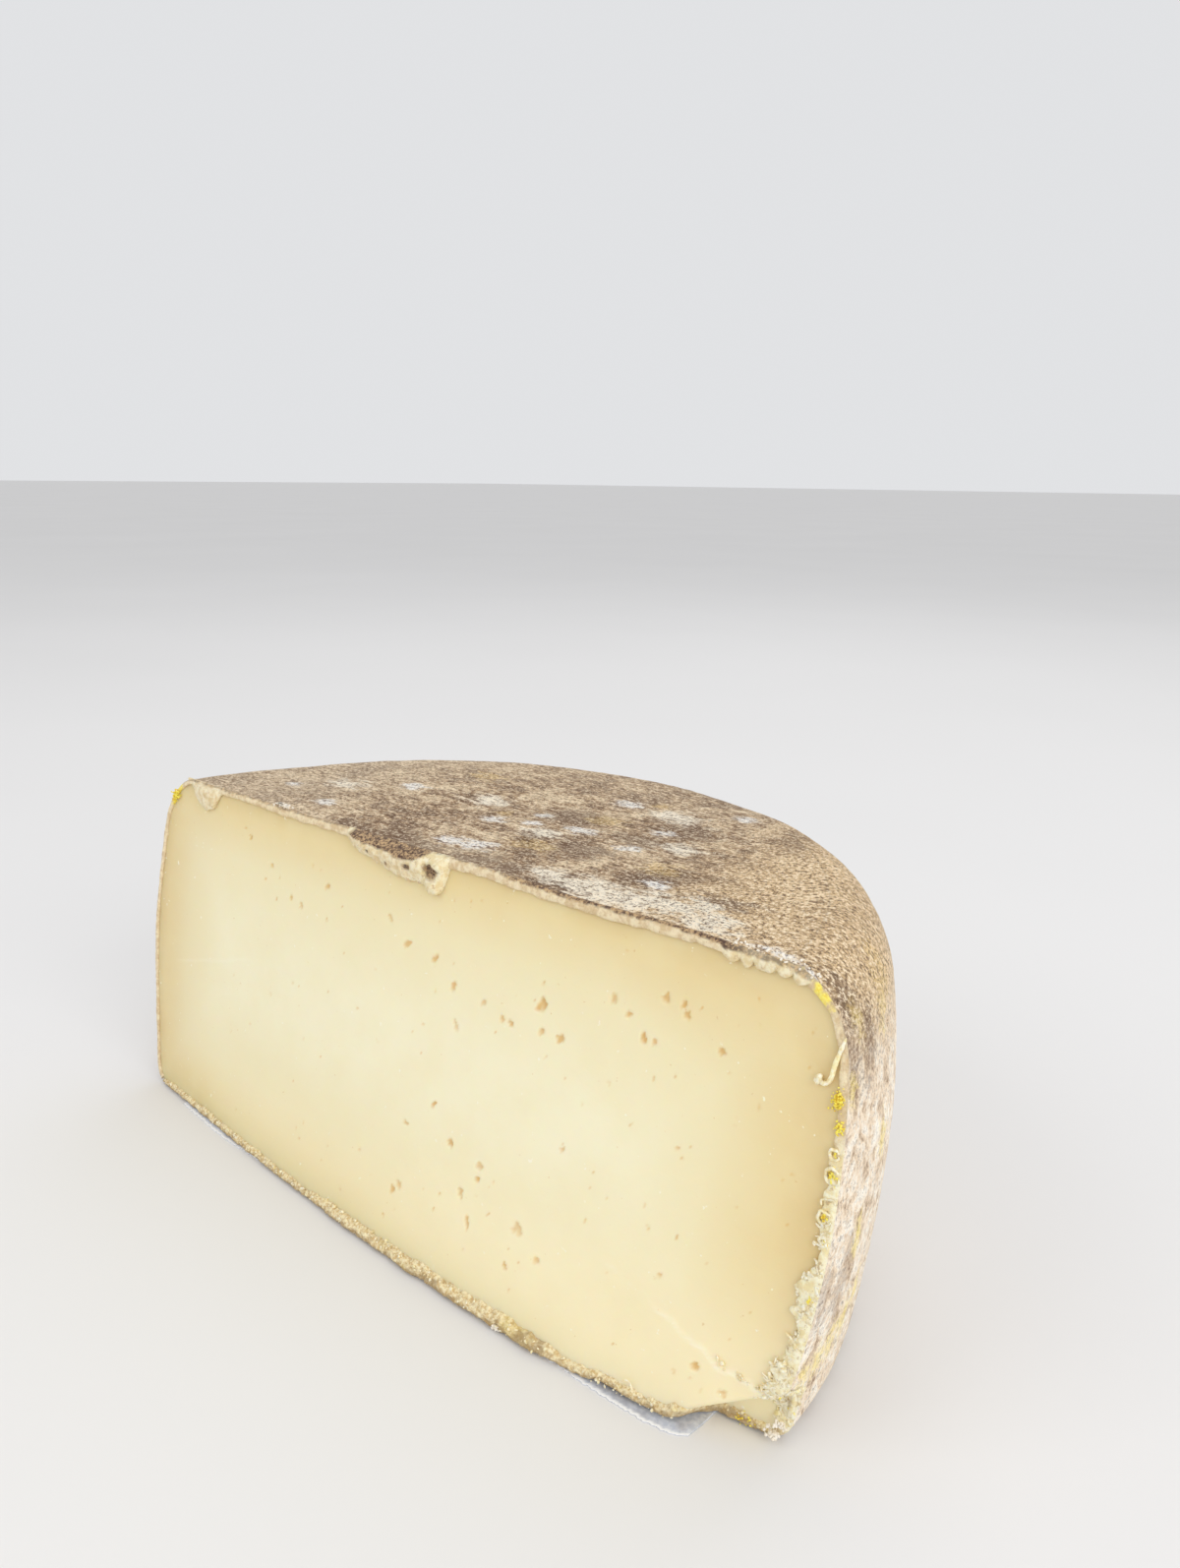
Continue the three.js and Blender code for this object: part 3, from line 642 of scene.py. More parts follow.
for piece in (rind_wall, rind_top, rind_base):
    finish.put_on(
        piece,
        Base_Color=skin_color,
        Roughness=0.86 + 0.1 * speckle,
        Normal=finish.bump((0.4 + 0.6 * on_top) * sand + speckle, 0.6, 0.9),
    )
    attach(piece, "root")
    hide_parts("cheese")


# Cut edge of the rind: it shows as a beige band round the cut, with a thin dark crust outside.
# It stands a little proud of the paste, which dried and shrank. Near the right shoulder it is pressed
# into soft lobes, and lower down it is torn and ragged.
BAND_STEP = 0.36
BAND_CORNERS = 26
BAND_SHAPE = ((0.5, -3.0), (0.3, -1.4), (0.07, -0.4), (0.02, 0.45), (0.28, 0.95), (0.7, 1.0), (0.97, 0.7),
              (1.02, 0.1), (0.95, -0.9), (0.7, -3.0))
BAND_WIDTHS = ((-118, 1.6), (-100, 1.7), (-40, 2.4), (60, 2.7), (110, 2.4), (120, 1.6))
BAND_PROUD, WALL_PROUD = 1.0, 0.55
SCALLOPS_FROM, SCALLOPS_TO, SCALLOPS = 93.0, 115.0, 5
SCALLOP_DROP = 1.5
RAGGED_BELOW, RAGGED_ABOVE = 70.0, 4.0
UNDER_FLAP = (-31.0, 8.5)
MOULD_ON_BAND = (
    (116.8, 11, 100.1, 1.3), (118.4, 11, 98.6, 1.6), (119.8, 11, 96.8, 1.0), (-120, 12, 97, 2.4),
    (-117.5, 12, 99.5, 2.4),
)


def curve_through(corners, count, closed=True):
    """Smooth line through its corners, as count points: a Catmull-Rom curve."""
    corners = np.asarray(corners, float)
    last = len(corners) - 1
    at = np.linspace(0, last + closed, count, endpoint=not closed)
    k = np.minimum(at.astype(int), last)
    t = (at - k)[:, None]
    near = [(k + i) % (last + 1) if closed else np.clip(k + i, 0, last) for i in (-1, 0, 1, 2)]
    p0, p1, p2, p3 = (corners[i] for i in near)
    return 0.5 * (2 * p1 + (p2 - p0) * t + (2 * p0 - 5 * p1 + 4 * p2 - p3) * t**2
                  + (3 * p1 - p0 - 3 * p2 + p3) * t**3)


def tube_faces(sections, corners):
    """Faces of a closed tube through rows of corners, with both ends filled."""
    number = np.arange(sections * corners).reshape(sections, corners)
    after = np.roll(number, -1, axis=1)
    quads = np.stack([number[:-1], after[:-1], after[1:], number[1:]], -1).reshape(-1, 4).tolist()
    return quads + [number[0, ::-1].tolist(), number[-1].tolist()]


def even_steps(line, step):
    """The same line at even steps of length, and the length up to each point."""
    run = np.concatenate([[0], np.cumsum(np.linalg.norm(np.diff(line, axis=0), axis=1))])
    at = np.linspace(0, run[-1], int(run[-1] / step))
    return np.stack([np.interp(at, run, line[:, k]) for k in range(line.shape[1])], -1), at


def on_skin(x, z):
    """Places on the cut's outline, moved with the waves of the rind."""
    points = np.stack([x, cut_face(x, z), z], -1)
    return points + skin_out(points) * rind_wave(*points.T)[:, None]


edge_z = wall_heights(240)[4:]
left_edge = on_skin(half_width(edge_z, -1), edge_z)
right_edge = on_skin(half_width(edge_z, 1), edge_z)
top_x = np.linspace(left_edge[-1, 0], right_edge[-1, 0], 500)[1:-1]
edge = np.concatenate([left_edge, on_skin(top_x, HEIGHT + 0 * top_x), right_edge[::-1]])
edge, run = even_steps(edge, BAND_STEP)
along = np.gradient(edge[:, [0, 2]], axis=0)
along /= np.linalg.norm(along, axis=1, keepdims=True)
inward = np.stack([along[:, 1], -along[:, 0]], -1)
run_points = np.stack([run, 0 * run, 0 * run], -1)
on_wall = smooth_step(112, 119, abs(edge[:, 0]))
torn = smooth_step(RAGGED_BELOW + 6, RAGGED_BELOW - 6, edge[:, 2]) * smooth_step(0, 10, edge[:, 0])
torn *= smooth_step(0, RAGGED_ABOVE, edge[:, 2])
lobe_at = edge[:, 0] + 1.1 * grain(run_points, 5, 28)
lobe = np.sqrt(abs(np.sin(math.pi * SCALLOPS * (lobe_at - SCALLOPS_FROM) / (SCALLOPS_TO - SCALLOPS_FROM))))
pressed = smooth_step(SCALLOPS_FROM - 1, SCALLOPS_FROM + 2, edge[:, 0])
pressed *= smooth_step(SCALLOPS_TO + 1.5, SCALLOPS_TO - 1, edge[:, 0])
under_flap = smooth_step(UNDER_FLAP[0] - 1, UNDER_FLAP[0] + 1, edge[:, 0])
under_flap *= smooth_step(UNDER_FLAP[1] + 1, UNDER_FLAP[1] - 1, edge[:, 0])
wide = np.interp(edge[:, 0], *np.array(BAND_WIDTHS).T)
wide += pressed * SCALLOP_DROP * (lobe * (1 + 0.25 * grain(run_points, 4, 29)) - 0.4)
wide += torn * (0.2 + 1.8 * smooth_step(44, 40, edge[:, 2]))
proud = BAND_PROUD + (WALL_PROUD - BAND_PROUD) * on_wall + 0.3 * pressed * lobe + 0.35 * torn
proud *= 1 - 0.9 * under_flap
wide *= (1 + (0.15 + 0.3 * torn) * grain(run_points, 9, 21, 2)
         + (0.08 + 0.5 * torn) * grain(run_points, 2.4, 22, 2))
proud *= 1 + (0.25 + 0.4 * torn) * grain(run_points, 6, 23, 2)
shape = curve_through(BAND_SHAPE, BAND_CORNERS)
into = shape[:, 0] * wide[:, None] + 0.7 * under_flap[:, None]
forward = np.where(shape[:, 1] > 0, shape[:, 1] * proud[:, None], shape[:, 1])
band_x = edge[:, 0, None] + inward[:, 0, None] * into
band_z = edge[:, 2, None] + inward[:, 1, None] * into
rough = np.stack([band_x, cut_face(band_x, band_z) - forward, band_z], -1)
lumps = (0.14 + 0.3 * torn)[:, None] * grain(rough, 1.2, 24, 3)
lumps += (0.1 + 0.2 * torn)[:, None] * grain(rough, 4, 25)
rough[..., 1] -= lumps * (shape[:, 1] > -0.5)
rough[..., 0] += inward[:, 0, None] * lumps * (shape[:, 0] > 0.5)
rough[..., 2] += inward[:, 1, None] * lumps * (shape[:, 0] > 0.5)
dark_run = smooth_step(26, 36, edge[:, 0]) * smooth_step(101, 94, edge[:, 0])
crust_line = (0.3 + 0.3 * dark_run + 0.45 * pressed)[:, None] + 0.5 * grain(rough, 5, 26, 3)
crust_line += 0.3 * grain(rough, 1.2, 27)
crust_and_shade = ((0.7 + 0.3 * dark_run) * (1 - torn) * (1 - 0.6 * on_wall))[:, None]
crust_and_shade = crust_and_shade * (1 - smooth_step(-0.2, 0.25, into - crust_line))
soft = np.maximum(0.55 * pressed, torn)[:, None] + 0 * crust_and_shade
band = mesh_piece("rind_cut_edge", rough.reshape(-1, 3), tube_faces(*rough.shape[:2]), {
    "crust_and_shade": crust_and_shade.ravel(), "soft": soft.ravel(), "gold": near_spots(rough, MOULD_ON_BAND).ravel(),
})
rind_section = Finish("rind_section")
flesh_noise = rind_section.noise(2.0, 4, 0.65, seed=12)
crust_noise = rind_section.noise(0.7, 4, 0.75, seed=13)
flesh_tone = rind_section.between(flesh_noise, 0.36, 0.62)
flesh = rind_section.mix(flesh_tone, paint(216, 190, 148), paint(240, 222, 186))
flesh = rind_section.mix(0.5 * rind_section.between(crust_noise, 0.56, 0.7), flesh, paint(188, 152, 108))
soft_tone = rind_section.between(flesh_noise, 0.4, 0.6)
soft_color = rind_section.mix(soft_tone, paint(236, 218, 168), paint(248, 240, 208))
dirt = rind_section.noise(1.6, 4, 0.7, seed=14)
soft_color = rind_section.mix(0.7 * rind_section.between(dirt, 0.56, 0.64), soft_color, paint(178, 148, 106))
flesh = rind_section.mix(rind_section.field("soft"), flesh, soft_color)
crust_tone = rind_section.between(0.55 * crust_noise + 0.45 * dirt, 0.44, 0.58)
crust_and_shade_color = rind_section.mix(crust_tone, paint(84, 60, 46), paint(196, 164, 122))
# The crust field holds the band's dark crust, and painted shade in the torn flap's hollows and pocket.
section_color = rind_section.mix(rind_section.field("crust_and_shade"), flesh, crust_and_shade_color)
gold_share = rind_section.between(rind_section.field("gold") + 2.2 * (flesh_noise - 0.5), 0.0, 0.8)
gold_tone = rind_section.between(crust_noise, 0.4, 0.6)
gold_color = rind_section.mix(gold_tone, paint(244, 214, 64), paint(255, 238, 112))
section_color = rind_section.mix(0.9 * gold_share, section_color, gold_color)
rind_section.put_on(
    band,
    Base_Color=section_color,
    Roughness=0.65 + 0.2 * crust_noise,
    Normal=rind_section.bump(crust_noise + flesh_noise, 0.3, 0.8),
    Subsurface_Weight=0.15,
    Subsurface_Radius=(0.003, 0.002, 0.001),
    Subsurface_Scale=1.0,
)
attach(band, "root")
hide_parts("cheese")


# Torn rind: where the knife dragged the dry rind, it tore, rolled forward and hangs over the cut.
# The brown outside shows on its upper side, and the beige inside in front, with a pocket where
# its right end curls. The pocket and the hollows in front are painted dark as shade.
# A pale curl hangs near the left end.
FLAP_CORNERS = 44
FLAP_STEP = 0.3
FLAP_SHAPE = (
    (-4.0, 0.3), (-1.5, 0.1), (-0.2, 0.0), (0.45, 0.08), (0.82, 0.2), (1.0, 0.34), (1.05, 0.52),
    (1.0, 0.72), (0.86, 0.93), (0.6, 1.0), (0.3, 0.93), (0.04, 0.8), (-1.5, 0.7), (-4.0, 0.6),
)
# Places along each: x, how far it stands out and how far it hangs
TORN_FLAP = (
    (-32, 0.4, 2.4), (-30.5, 1.6, 3.2), (-27.5, 3.0, 4.6), (-22, 3.8, 5.6), (-16.5, 4.2, 6.4),
    (-12, 4.2, 7.4), (-8, 4.5, 8.0), (-4, 4.6, 8.6), (-1.5, 4.3, 8.2), (2, 4.7, 8.8), (4.5, 5.2, 9.7),
    (6.8, 5.3, 9.8), (8.2, 4.4, 8.6), (9.1, 2.4, 5.6), (9.8, 0.6, 3.0),
)
LEFT_CURL = (
    (-113, 0.2, 1.6), (-110, 0.6, 2.4), (-108, 1.1, 4.0), (-106, 1.7, 6.0), (-104.5, 2.1, 7.2),
    (-102, 2.5, 7.9), (-99.5, 2.7, 7.9), (-97.6, 2.7, 7.1), (-96.2, 2.4, 5.6), (-95, 1.8, 3.8),
    (-94, 1.0, 2.4), (-93, 0.4, 1.8),
)
# Hollows of the torn flap: x, z, half width, half height and depth
FLAP_HOLLOWS = ((-4.2, 99.4, 1.6, 1.0, 1.0), (-20, 100.4, 0.7, 0.6, 0.6), (-12, 98.8, 0.8, 0.7, 0.6))
# Pocket in the curled end, which opens forward and to the right: middle, half width, half height and depth
POCKET, POCKET_WIDE, POCKET_HIGH, POCKET_DEEP = (6.0, 7.4, 99.9), 2.4, 2.5, 3.0
POCKET_TURN = math.radians(40)
CRUST_TO = 0.31


def hanging_rind(name, profile, seed, paleness):
    """Closed roll of rind along the top edge of the cut, hanging over it as its profile says."""
    profile = curve_through(profile, 12 * len(profile), closed=False)
    x = np.arange(profile[0, 0], profile[-1, 0], FLAP_STEP)
    places = np.stack([x, 0 * x, 0 * x], -1)
    ahead = np.interp(x, profile[:, 0], profile[:, 1]) * (1 + 0.12 * grain(places, 3, seed, 2))
    down = np.interp(x, profile[:, 0], profile[:, 2]) * (1 + 0.08 * grain(places, 2.2, seed + 4, 2))
    shape = curve_through(FLAP_SHAPE, FLAP_CORNERS)
    out = np.where(shape[:, 0] > 0, shape[:, 0] * ahead[:, None], shape[:, 0])
    sunk = smooth_step(-0.2, -1.5, shape[:, 0])
    fall = shape[:, 1] * down[:, None] + 0.9 * sunk
    high = on_skin(x, np.full_like(x, HEIGHT))[:, 2]
    points = np.stack([np.repeat(x[:, None], FLAP_CORNERS, 1), CUT_TOP_LINE - out, high[:, None] - fall], -1)
    in_front = smooth_step(-0.5, 0.5, shape[:, 0])
    lump = (0.6 * grain(points, 2.8, seed + 1, 2) + 0.4 * grain(points, 1.1, seed + 2, 3)) * in_front
    lump = lump * np.clip(ahead / 3, 0.2, 1)[:, None]
    points[..., 1] -= 0.8 * lump
    points[..., 2] -= 0.5 * lump * (shape[:, 1] > 0.3)
    crust_end = CRUST_TO + 0.05 * grain(points, 2, seed + 3, 2) - 0.3 * smooth_step(-2, 3, x)[:, None]
    crust_and_shade = 1 - smooth_step(crust_end - 0.05, crust_end + 0.03, shape[:, 1] + 0 * crust_end)
    crust_and_shade *= (1 - paleness) * (shape[:, 0] < 1.03) * smooth_step(-30.5, -28, x)[:, None]
    for at_x, at_z, half_wide, half_high, deep in FLAP_HOLLOWS:
        reach = np.hypot((points[..., 0] - at_x) / half_wide, (points[..., 2] - at_z) / half_high)
        hollow = (1 - smooth_step(0.5, 1.25, reach)) * (shape[:, 0] > 0.35)
        points[..., 1] += deep * hollow
        # Painted shade: each hollow in the flap's front is painted dark.
        crust_and_shade = np.maximum(crust_and_shade, 0.9 * smooth_step(0.3, 0.9, hollow) * (1 - paleness))
    from_pocket = points - POCKET
    sideways = from_pocket[..., 0] * math.cos(POCKET_TURN) + from_pocket[..., 1] * math.sin(POCKET_TURN)
    reach = np.hypot(sideways / POCKET_WIDE, from_pocket[..., 2] / POCKET_HIGH)
    reach = reach + 0.35 * grain(points, 2.2, seed + 5, 2)
    hollow = (1 - smooth_step(0.4, 1.15, reach)) * (shape[:, 0] > 0.3) * (x > 0)[:, None]
    points[..., 0] -= POCKET_DEEP * math.sin(POCKET_TURN) * hollow
    points[..., 1] += POCKET_DEEP * math.cos(POCKET_TURN) * hollow
    # Painted shade: the pocket in the curled end is painted dark.
    crust_and_shade = np.maximum(crust_and_shade, smooth_step(0.4, 1.0, hollow))
    soft = np.minimum(0.4 + 0.35 * smooth_step(-6, 4, x), 1)[:, None] + 0 * crust_and_shade
    return mesh_piece(name, points.reshape(-1, 3), tube_faces(*points.shape[:2]),
                      {"crust_and_shade": crust_and_shade.ravel(), "soft": soft.ravel(), "gold": -np.ones(crust_and_shade.size)})


for name, profile, seed, paleness in (("torn_rind", TORN_FLAP, 31, 0.0), ("left_curl", LEFT_CURL, 47, 1.0)):
    flap = hanging_rind(name, profile, seed, paleness)
    flap.data.materials.append(rind_section.material)
    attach(flap, "root")
    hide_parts("cheese")


# Foot of the cut: the rind of the base is damp, soft and crumbly, and shows as a granular band.
# It is thickest in the middle, with a brown clump, and goes on round the broken corner. Shade is
# painted darker into the low spots between its crumbs, its lower side and the corner's recess, and light onto
# its top.
FOOT_FROM, FOOT_TO = -118.0, 119.0
FOOT_CORNERS = 30
# Places along the foot: x, how high the band is and how far it stands out
FOOT_SIZES = (
    (-118, 1.4, 0.7), (-90, 1.8, 0.8), (-30, 2.1, 1.0), (-5, 3.2, 1.4), (44, 3.5, 1.6), (54, 3.0, 2.2),
    (65, 2.8, 2.6), (70, 2.0, 0.9), (76, 1.6, 0.8), (92, 2.2, 0.8), (102, 3.4, 1.2), (107, 2.4, 0.8),
    (119, 1.6, 0.5),
)
FOOT_SHAPE = (
    (0.05, -3.0), (0.0, 0.2), (0.15, 0.85), (0.45, 1.0), (0.8, 0.8), (1.0, 0.25), (1.05, -0.6),
    (0.9, -3.0),
)
CLUMP_X, CLUMP_WIDTH = 61.0, 5.0
LIFTED_FROM, LIFTED_TO, LIFT = 80.0, 101.0, 0.9
foot_x = np.arange(FOOT_FROM, FOOT_TO, BAND_STEP)
foot_line = np.stack([foot_x, 0 * foot_x, 0 * foot_x], -1)
sizes_x, sizes_high, sizes_out = np.array(FOOT_SIZES).T
foot_high = np.interp(foot_x, sizes_x, sizes_high)
foot_high *= 1 + 0.2 * grain(foot_line, 9, 51, 2) + 0.16 * grain(foot_line, 2, 52, 2)
foot_out = np.interp(foot_x, sizes_x, sizes_out) * (1 + 0.4 * grain(foot_line, 6, 53, 2))
shape = curve_through(FOOT_SHAPE, FOOT_CORNERS)
lifted = LIFT * smooth_step(LIFTED_FROM - 4, LIFTED_FROM, foot_x)
lifted *= smooth_step(LIFTED_TO + 3, LIFTED_TO, foot_x)
foot_z = BASE_LEVEL + lifted[:, None] + np.maximum(shape[:, 0], 0) * foot_high[:, None]
forward = np.where(shape[:, 1] > 0, shape[:, 1] * foot_out[:, None], shape[:, 1])
wide_x = np.repeat(foot_x[:, None], FOOT_CORNERS, 1)
foot = np.stack([wide_x, cut_face(wide_x, foot_z) - forward, foot_z], -1)
crumbly = 0.4 * grain(foot, 0.9, 54, 2) + 0.4 * grain(foot, 2.2, 55, 2)
foot[..., 1] -= crumbly * smooth_step(-1, 0.2, shape[:, 1])
foot[..., 2] += 0.6 * crumbly * smooth_step(0.5, 0.9, shape[:, 0])
foot[..., 2] = np.maximum(foot[..., 2], BASE_LEVEL)
clump = np.exp(-(((foot_x - CLUMP_X) / CLUMP_WIDTH) ** 2))[:, None]
in_recess = smooth_step(103, 107, foot_x) * smooth_step(117, 113, foot_x)
# Painted shade: darker in the low spots between crumbs, on the band's lower side and in the corner's recess,
# lighter on its top as painted light; the clump adds its own brown.
pits = smooth_step(0.2, -0.4, crumbly) + 0.9 * smooth_step(0.5, 0.2, shape[:, 0]) + 0.9 * clump
pits += 0.6 * in_recess[:, None] - 0.4 * smooth_step(0.6, 0.9, shape[:, 0])
foot_band = mesh_piece("base_cut_edge", foot.reshape(-1, 3), tube_faces(*foot.shape[:2]),
                       {"shade_and_clump": np.clip(pits, 0, 1).ravel()})
finish = Finish("damp_rind")
speck = finish.noise(0.9, 4, 0.7, seed=15)
stain = finish.noise(12, 3, 0.6, seed=16)
foot_band_color_and_shade = finish.mix(finish.between(speck, 0.38, 0.6), paint(214, 184, 128), paint(250, 236, 194))
foot_band_color_and_shade = finish.mix(0.4 * finish.between(stain, 0.5, 0.66), foot_band_color_and_shade, paint(240, 218, 128))
# Painted shade and the clump's brown, from the field above.
foot_band_color_and_shade = finish.mix(0.65 * finish.field("shade_and_clump"), foot_band_color_and_shade, paint(150, 120, 78))
finish.put_on(
    foot_band,
    Base_Color=foot_band_color_and_shade,
    Roughness=0.6 + 0.2 * speck,
    Normal=finish.bump(speck, 0.5, 0.9),
    Subsurface_Weight=0.1,
    Subsurface_Radius=(0.002, 0.0015, 0.0008),
    Subsurface_Scale=1.0,
)
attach(foot_band, "root")
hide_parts("cheese")


# Crumbs and shreds: bits of paste and rind that the knife tore and pressed out along the right edge,
# the low right corner and the foot. Pale cream, stuck to the cheese, some in rings round small holes.
SMALL_CRUMB = 0.45
STRAND_CORNERS = 8
# Stretches of the ragged right edge: top, bottom, count, size of the bits and reach in from the edge
RAGGED = ((74, 60, 34, 0.32, 1.6), (60, 44, 50, 0.32, 1.6), (44, 38, 30, 0.4, 4.2), (38, 24, 54, 0.42, 2.4),
          (24, 12, 84, 0.5, 4.6), (12, 3, 44, 0.5, 3.4))
CRATERS = ((69.0, 1.4, 1.0), (64.6, 1.4, 1.5), (55.8, 1.7, 1.4), (51.2, 1.0, 0.8))
HOOK = (
    (124.4, 92.5), (123.6, 89.5), (122.9, 86.5), (122.6, 84.2), (122.1, 82.9), (121.2, 82.3),
    (120.3, 82.5), (119.6, 83.2),
)
HOOK_END = (119.9, 82.8, 0.8)
CORNER_SHREDS = (((121.0, 17.5), (121.6, 14.5), (121.0, 11.5), (121.4, 8.5)),
                 ((121.8, 15.5), (121.2, 13.0), (121.8, 10.5), (121.2, 6.5)))
THREAD = ((86.2, 4.2), (87.5, 5.5), (89.0, 5.3), (89.8, 3.6))
LAYER_EDGE = ((107, 18.4), (109, 17.2), (112, 17.4), (115, 16.2), (117.5, 16.4), (119.5, 14.6))
FOOT_CRUMBS, LAYER_CRUMBS, SHREDS = 300, 20, 120
FOOT_CRUMB_SPAN = (-114, 117)
SHRED_HEIGHTS = ((8, 22), (5, 60))


def crumb_shapes(places, radii, seed, squash=0.5):
    """Points and faces of many uneven bits, each a rough ball of its own size, stretch and turn."""
    rng = np.random.default_rng(seed)
    balls = []
    for fineness in (1, 2):
        ball = bmesh.new()
        bmesh.ops.create_icosphere(ball, subdivisions=fineness, radius=1)
        balls.append((np.array([v.co for v in ball.verts]), [[v.index for v in f.verts] for f in ball.faces]))
        ball.free()
    shapes = []
    for k, (place, radius) in enumerate(zip(places, radii)):
        corners, triangles = balls[radius > SMALL_CRUMB]
        turn = np.linalg.qr(rng.normal(size=(3, 3)))[0]
        turn *= np.sign(np.linalg.det(turn))
        stretch = 1 + squash * rng.uniform(-1, 1, 3)
        lump = corners * (1 + 0.5 * grain(corners * 1.6 + 9.7 * k, 1.0, seed, 2))[:, None]
        shapes.append((place + (lump * stretch * radius) @ turn.T, triangles))
    return shapes


def strand(path, thick):
    """Points and faces of a thin uneven strand along a smooth line through places."""
    line = curve_through(path, 7 * len(path), closed=False)
    along = np.gradient(line, axis=0)
    side = np.cross(along, (0.2, -0.9, 0.4))
    side /= np.linalg.norm(side, axis=1, keepdims=True)
    over = np.cross(side, along)
    over /= np.linalg.norm(over, axis=1, keepdims=True)
    radius = thick * (1 - 0.75 * np.linspace(-1, 1, len(line)) ** 6) * (1 + 0.3 * grain(line, 1.1, 65, 2))
    turn = np.arange(STRAND_CORNERS) * TAU / STRAND_CORNERS
    ring = side[:, None] * np.cos(turn)[:, None] + over[:, None] * np.sin(turn)[:, None]
    points = line[:, None] + ring * radius[:, None, None]
    return points, tube_faces(*points.shape[:2])


def joined(shapes):
    """Points and faces of many shapes as one."""
    points, faces, start = [], [], 0
    for some_points, some_faces in shapes:
        points.append(some_points.reshape(-1, 3))
        faces.extend([start + i for i in face] for face in some_faces)
        start += len(points[-1])
    return np.concatenate(points), faces


def before_cut(places, out):
    """Places given as x and z, set a little in front of the cut."""
    x, z = np.array(places, float).T
    return np.stack([x, cut_face(x, z) - out, z], -1)


def near_right_edge(z, inset, out):
    """Places on the cut near its right edge, each at a height and a distance in from the edge."""
    return before_cut(np.stack([half_width(z, 1) - inset, z], -1), out)


rng = np.random.default_rng(61)
places, radii, shapes = [], [], []
for top_z, low_z, count, size, reach in RAGGED:
    z = rng.uniform(low_z, top_z, count)
    inset = 0.4 + reach * rng.random(count) ** 1.6
    places.append(near_right_edge(z, inset, rng.uniform(0, 0.9, count) * size))
    radii.append(size * rng.uniform(0.4, 1.5, count))
x = rng.uniform(*FOOT_CRUMB_SPAN, FOOT_CRUMBS)
z = BASE_LEVEL + np.interp(x, sizes_x, sizes_high) * rng.uniform(0.25, 1.15, FOOT_CRUMBS)
stands_out = np.interp(x, sizes_x, sizes_out) * rng.uniform(0.4, 1.1, FOOT_CRUMBS)
places.append(before_cut(np.stack([x, z], -1), stands_out))
radii.append(rng.uniform(0.15, 0.45, FOOT_CRUMBS))
layer_x, layer_z = np.array(LAYER_EDGE).T
x = layer_x[0] + np.ptp(layer_x) * rng.random(LAYER_CRUMBS) ** 0.6
z = np.interp(x, layer_x, layer_z) + rng.normal(size=LAYER_CRUMBS) * 0.4
places.append(before_cut(np.stack([x, z], -1), 0.2))
radii.append(rng.uniform(0.2, 0.55, LAYER_CRUMBS))
places, radii = np.concatenate(places), np.concatenate(radii)
shapes += crumb_shapes(places, radii, 62)
for k in range(SHREDS):
    z = rng.uniform(*SHRED_HEIGHTS[k % 2])
    inset = rng.uniform(0.6, 5.0 if z < 24 else 2.4)
    steps = np.cumsum(rng.normal(size=(4, 2)) * (0.9, 0.7), axis=0)
    start = (half_width(np.array(z), 1) - inset, z)
    path = before_cut(start + steps - steps[2], 0.3 + 0.5 * rng.random())
    path[:, 0] = np.minimum(path[:, 0], half_width(path[:, 2], 1) - 0.4)
    shapes.append(strand(path, rng.uniform(0.16, 0.36)))
for z, inset, radius in CRATERS:
    middle = near_right_edge(np.array([z]), np.array([inset + 0.4]), 0.6)[0]
    turn = np.linspace(0.3, TAU, 14)
    uneven = radius * (1 + 0.08 * rng.normal(size=14))
    rim = middle + np.stack([uneven * np.cos(turn), -0.3 * rng.random(14), 1.15 * uneven * np.sin(turn)], -1)
    shapes.append(strand(rim, 0.36))
shapes.append(strand(before_cut(HOOK, 0.9), 0.5))
shapes += crumb_shapes(before_cut([HOOK_END[:2]], 0.9), HOOK_END[2:], 63)
for shred in CORNER_SHREDS:
    shapes.append(strand(before_cut(shred, 0.8), 0.7))
shapes.append(strand(before_cut(THREAD, 1.1), 0.17))
crumbs = mesh_piece("edge_crumbs", *joined(shapes))
finish = Finish("crumbs")
speck = finish.noise(1.2, 4, 0.65, seed=21)
mould_share = finish.noise(9, 3, 0.6, seed=22)
crumb_color = finish.mix(finish.between(speck, 0.36, 0.62), paint(236, 212, 156), paint(254, 246, 216))
crumb_color = finish.mix(0.4 * finish.between(mould_share, 0.52, 0.66), crumb_color, paint(252, 236, 156))
dirt = finish.noise(2.6, 4, 0.7, seed=23)
crumb_color = finish.mix(0.5 * finish.between(dirt, 0.57, 0.66), crumb_color, paint(196, 164, 112))
finish.put_on(
    crumbs,
    Base_Color=crumb_color,
    Roughness=0.6,
    Normal=finish.bump(speck, 0.25, 0.7),
    Subsurface_Weight=0.25,
    Subsurface_Radius=(0.003, 0.002, 0.001),
    Subsurface_Scale=1.0,
)
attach(crumbs, "root")
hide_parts("cheese")


# Mould: bright yellow dusty beads that grew at the right edge of the cut and in its small holes,
# and white fluff on the rind's rim, above the pressed lobes, at the foot and at the low right corner.
# Yellow growths: height, distance in from the edge, spread and count
YELLOW_SPOTS = ((79.6, 1.7, 1.0, 170), (74.4, 1.1, 0.8, 100), (69, 1.6, 0.4, 14), (64.6, 1.7, 0.8, 60),
                (55.8, 2.1, 0.75, 60), (51.2, 1.4, 0.5, 14), (38.5, 1.5, 0.6, 16), (14, 3.4, 0.9, 20),
                (8, 1.4, 0.8, 14))
# White growths: x, y, z, spread and count
WHITE_TUFTS = ((-64.5, 13.0, 104.0, 1.3, 60), (-61.5, 13.0, 104.0, 0.8, 24), (50.5, -15.0, 1.2, 0.7, 20),
               (119.0, -0.8, 2.8, 0.8, 60), (120.8, -1.2, 6.0, 0.8, 40))
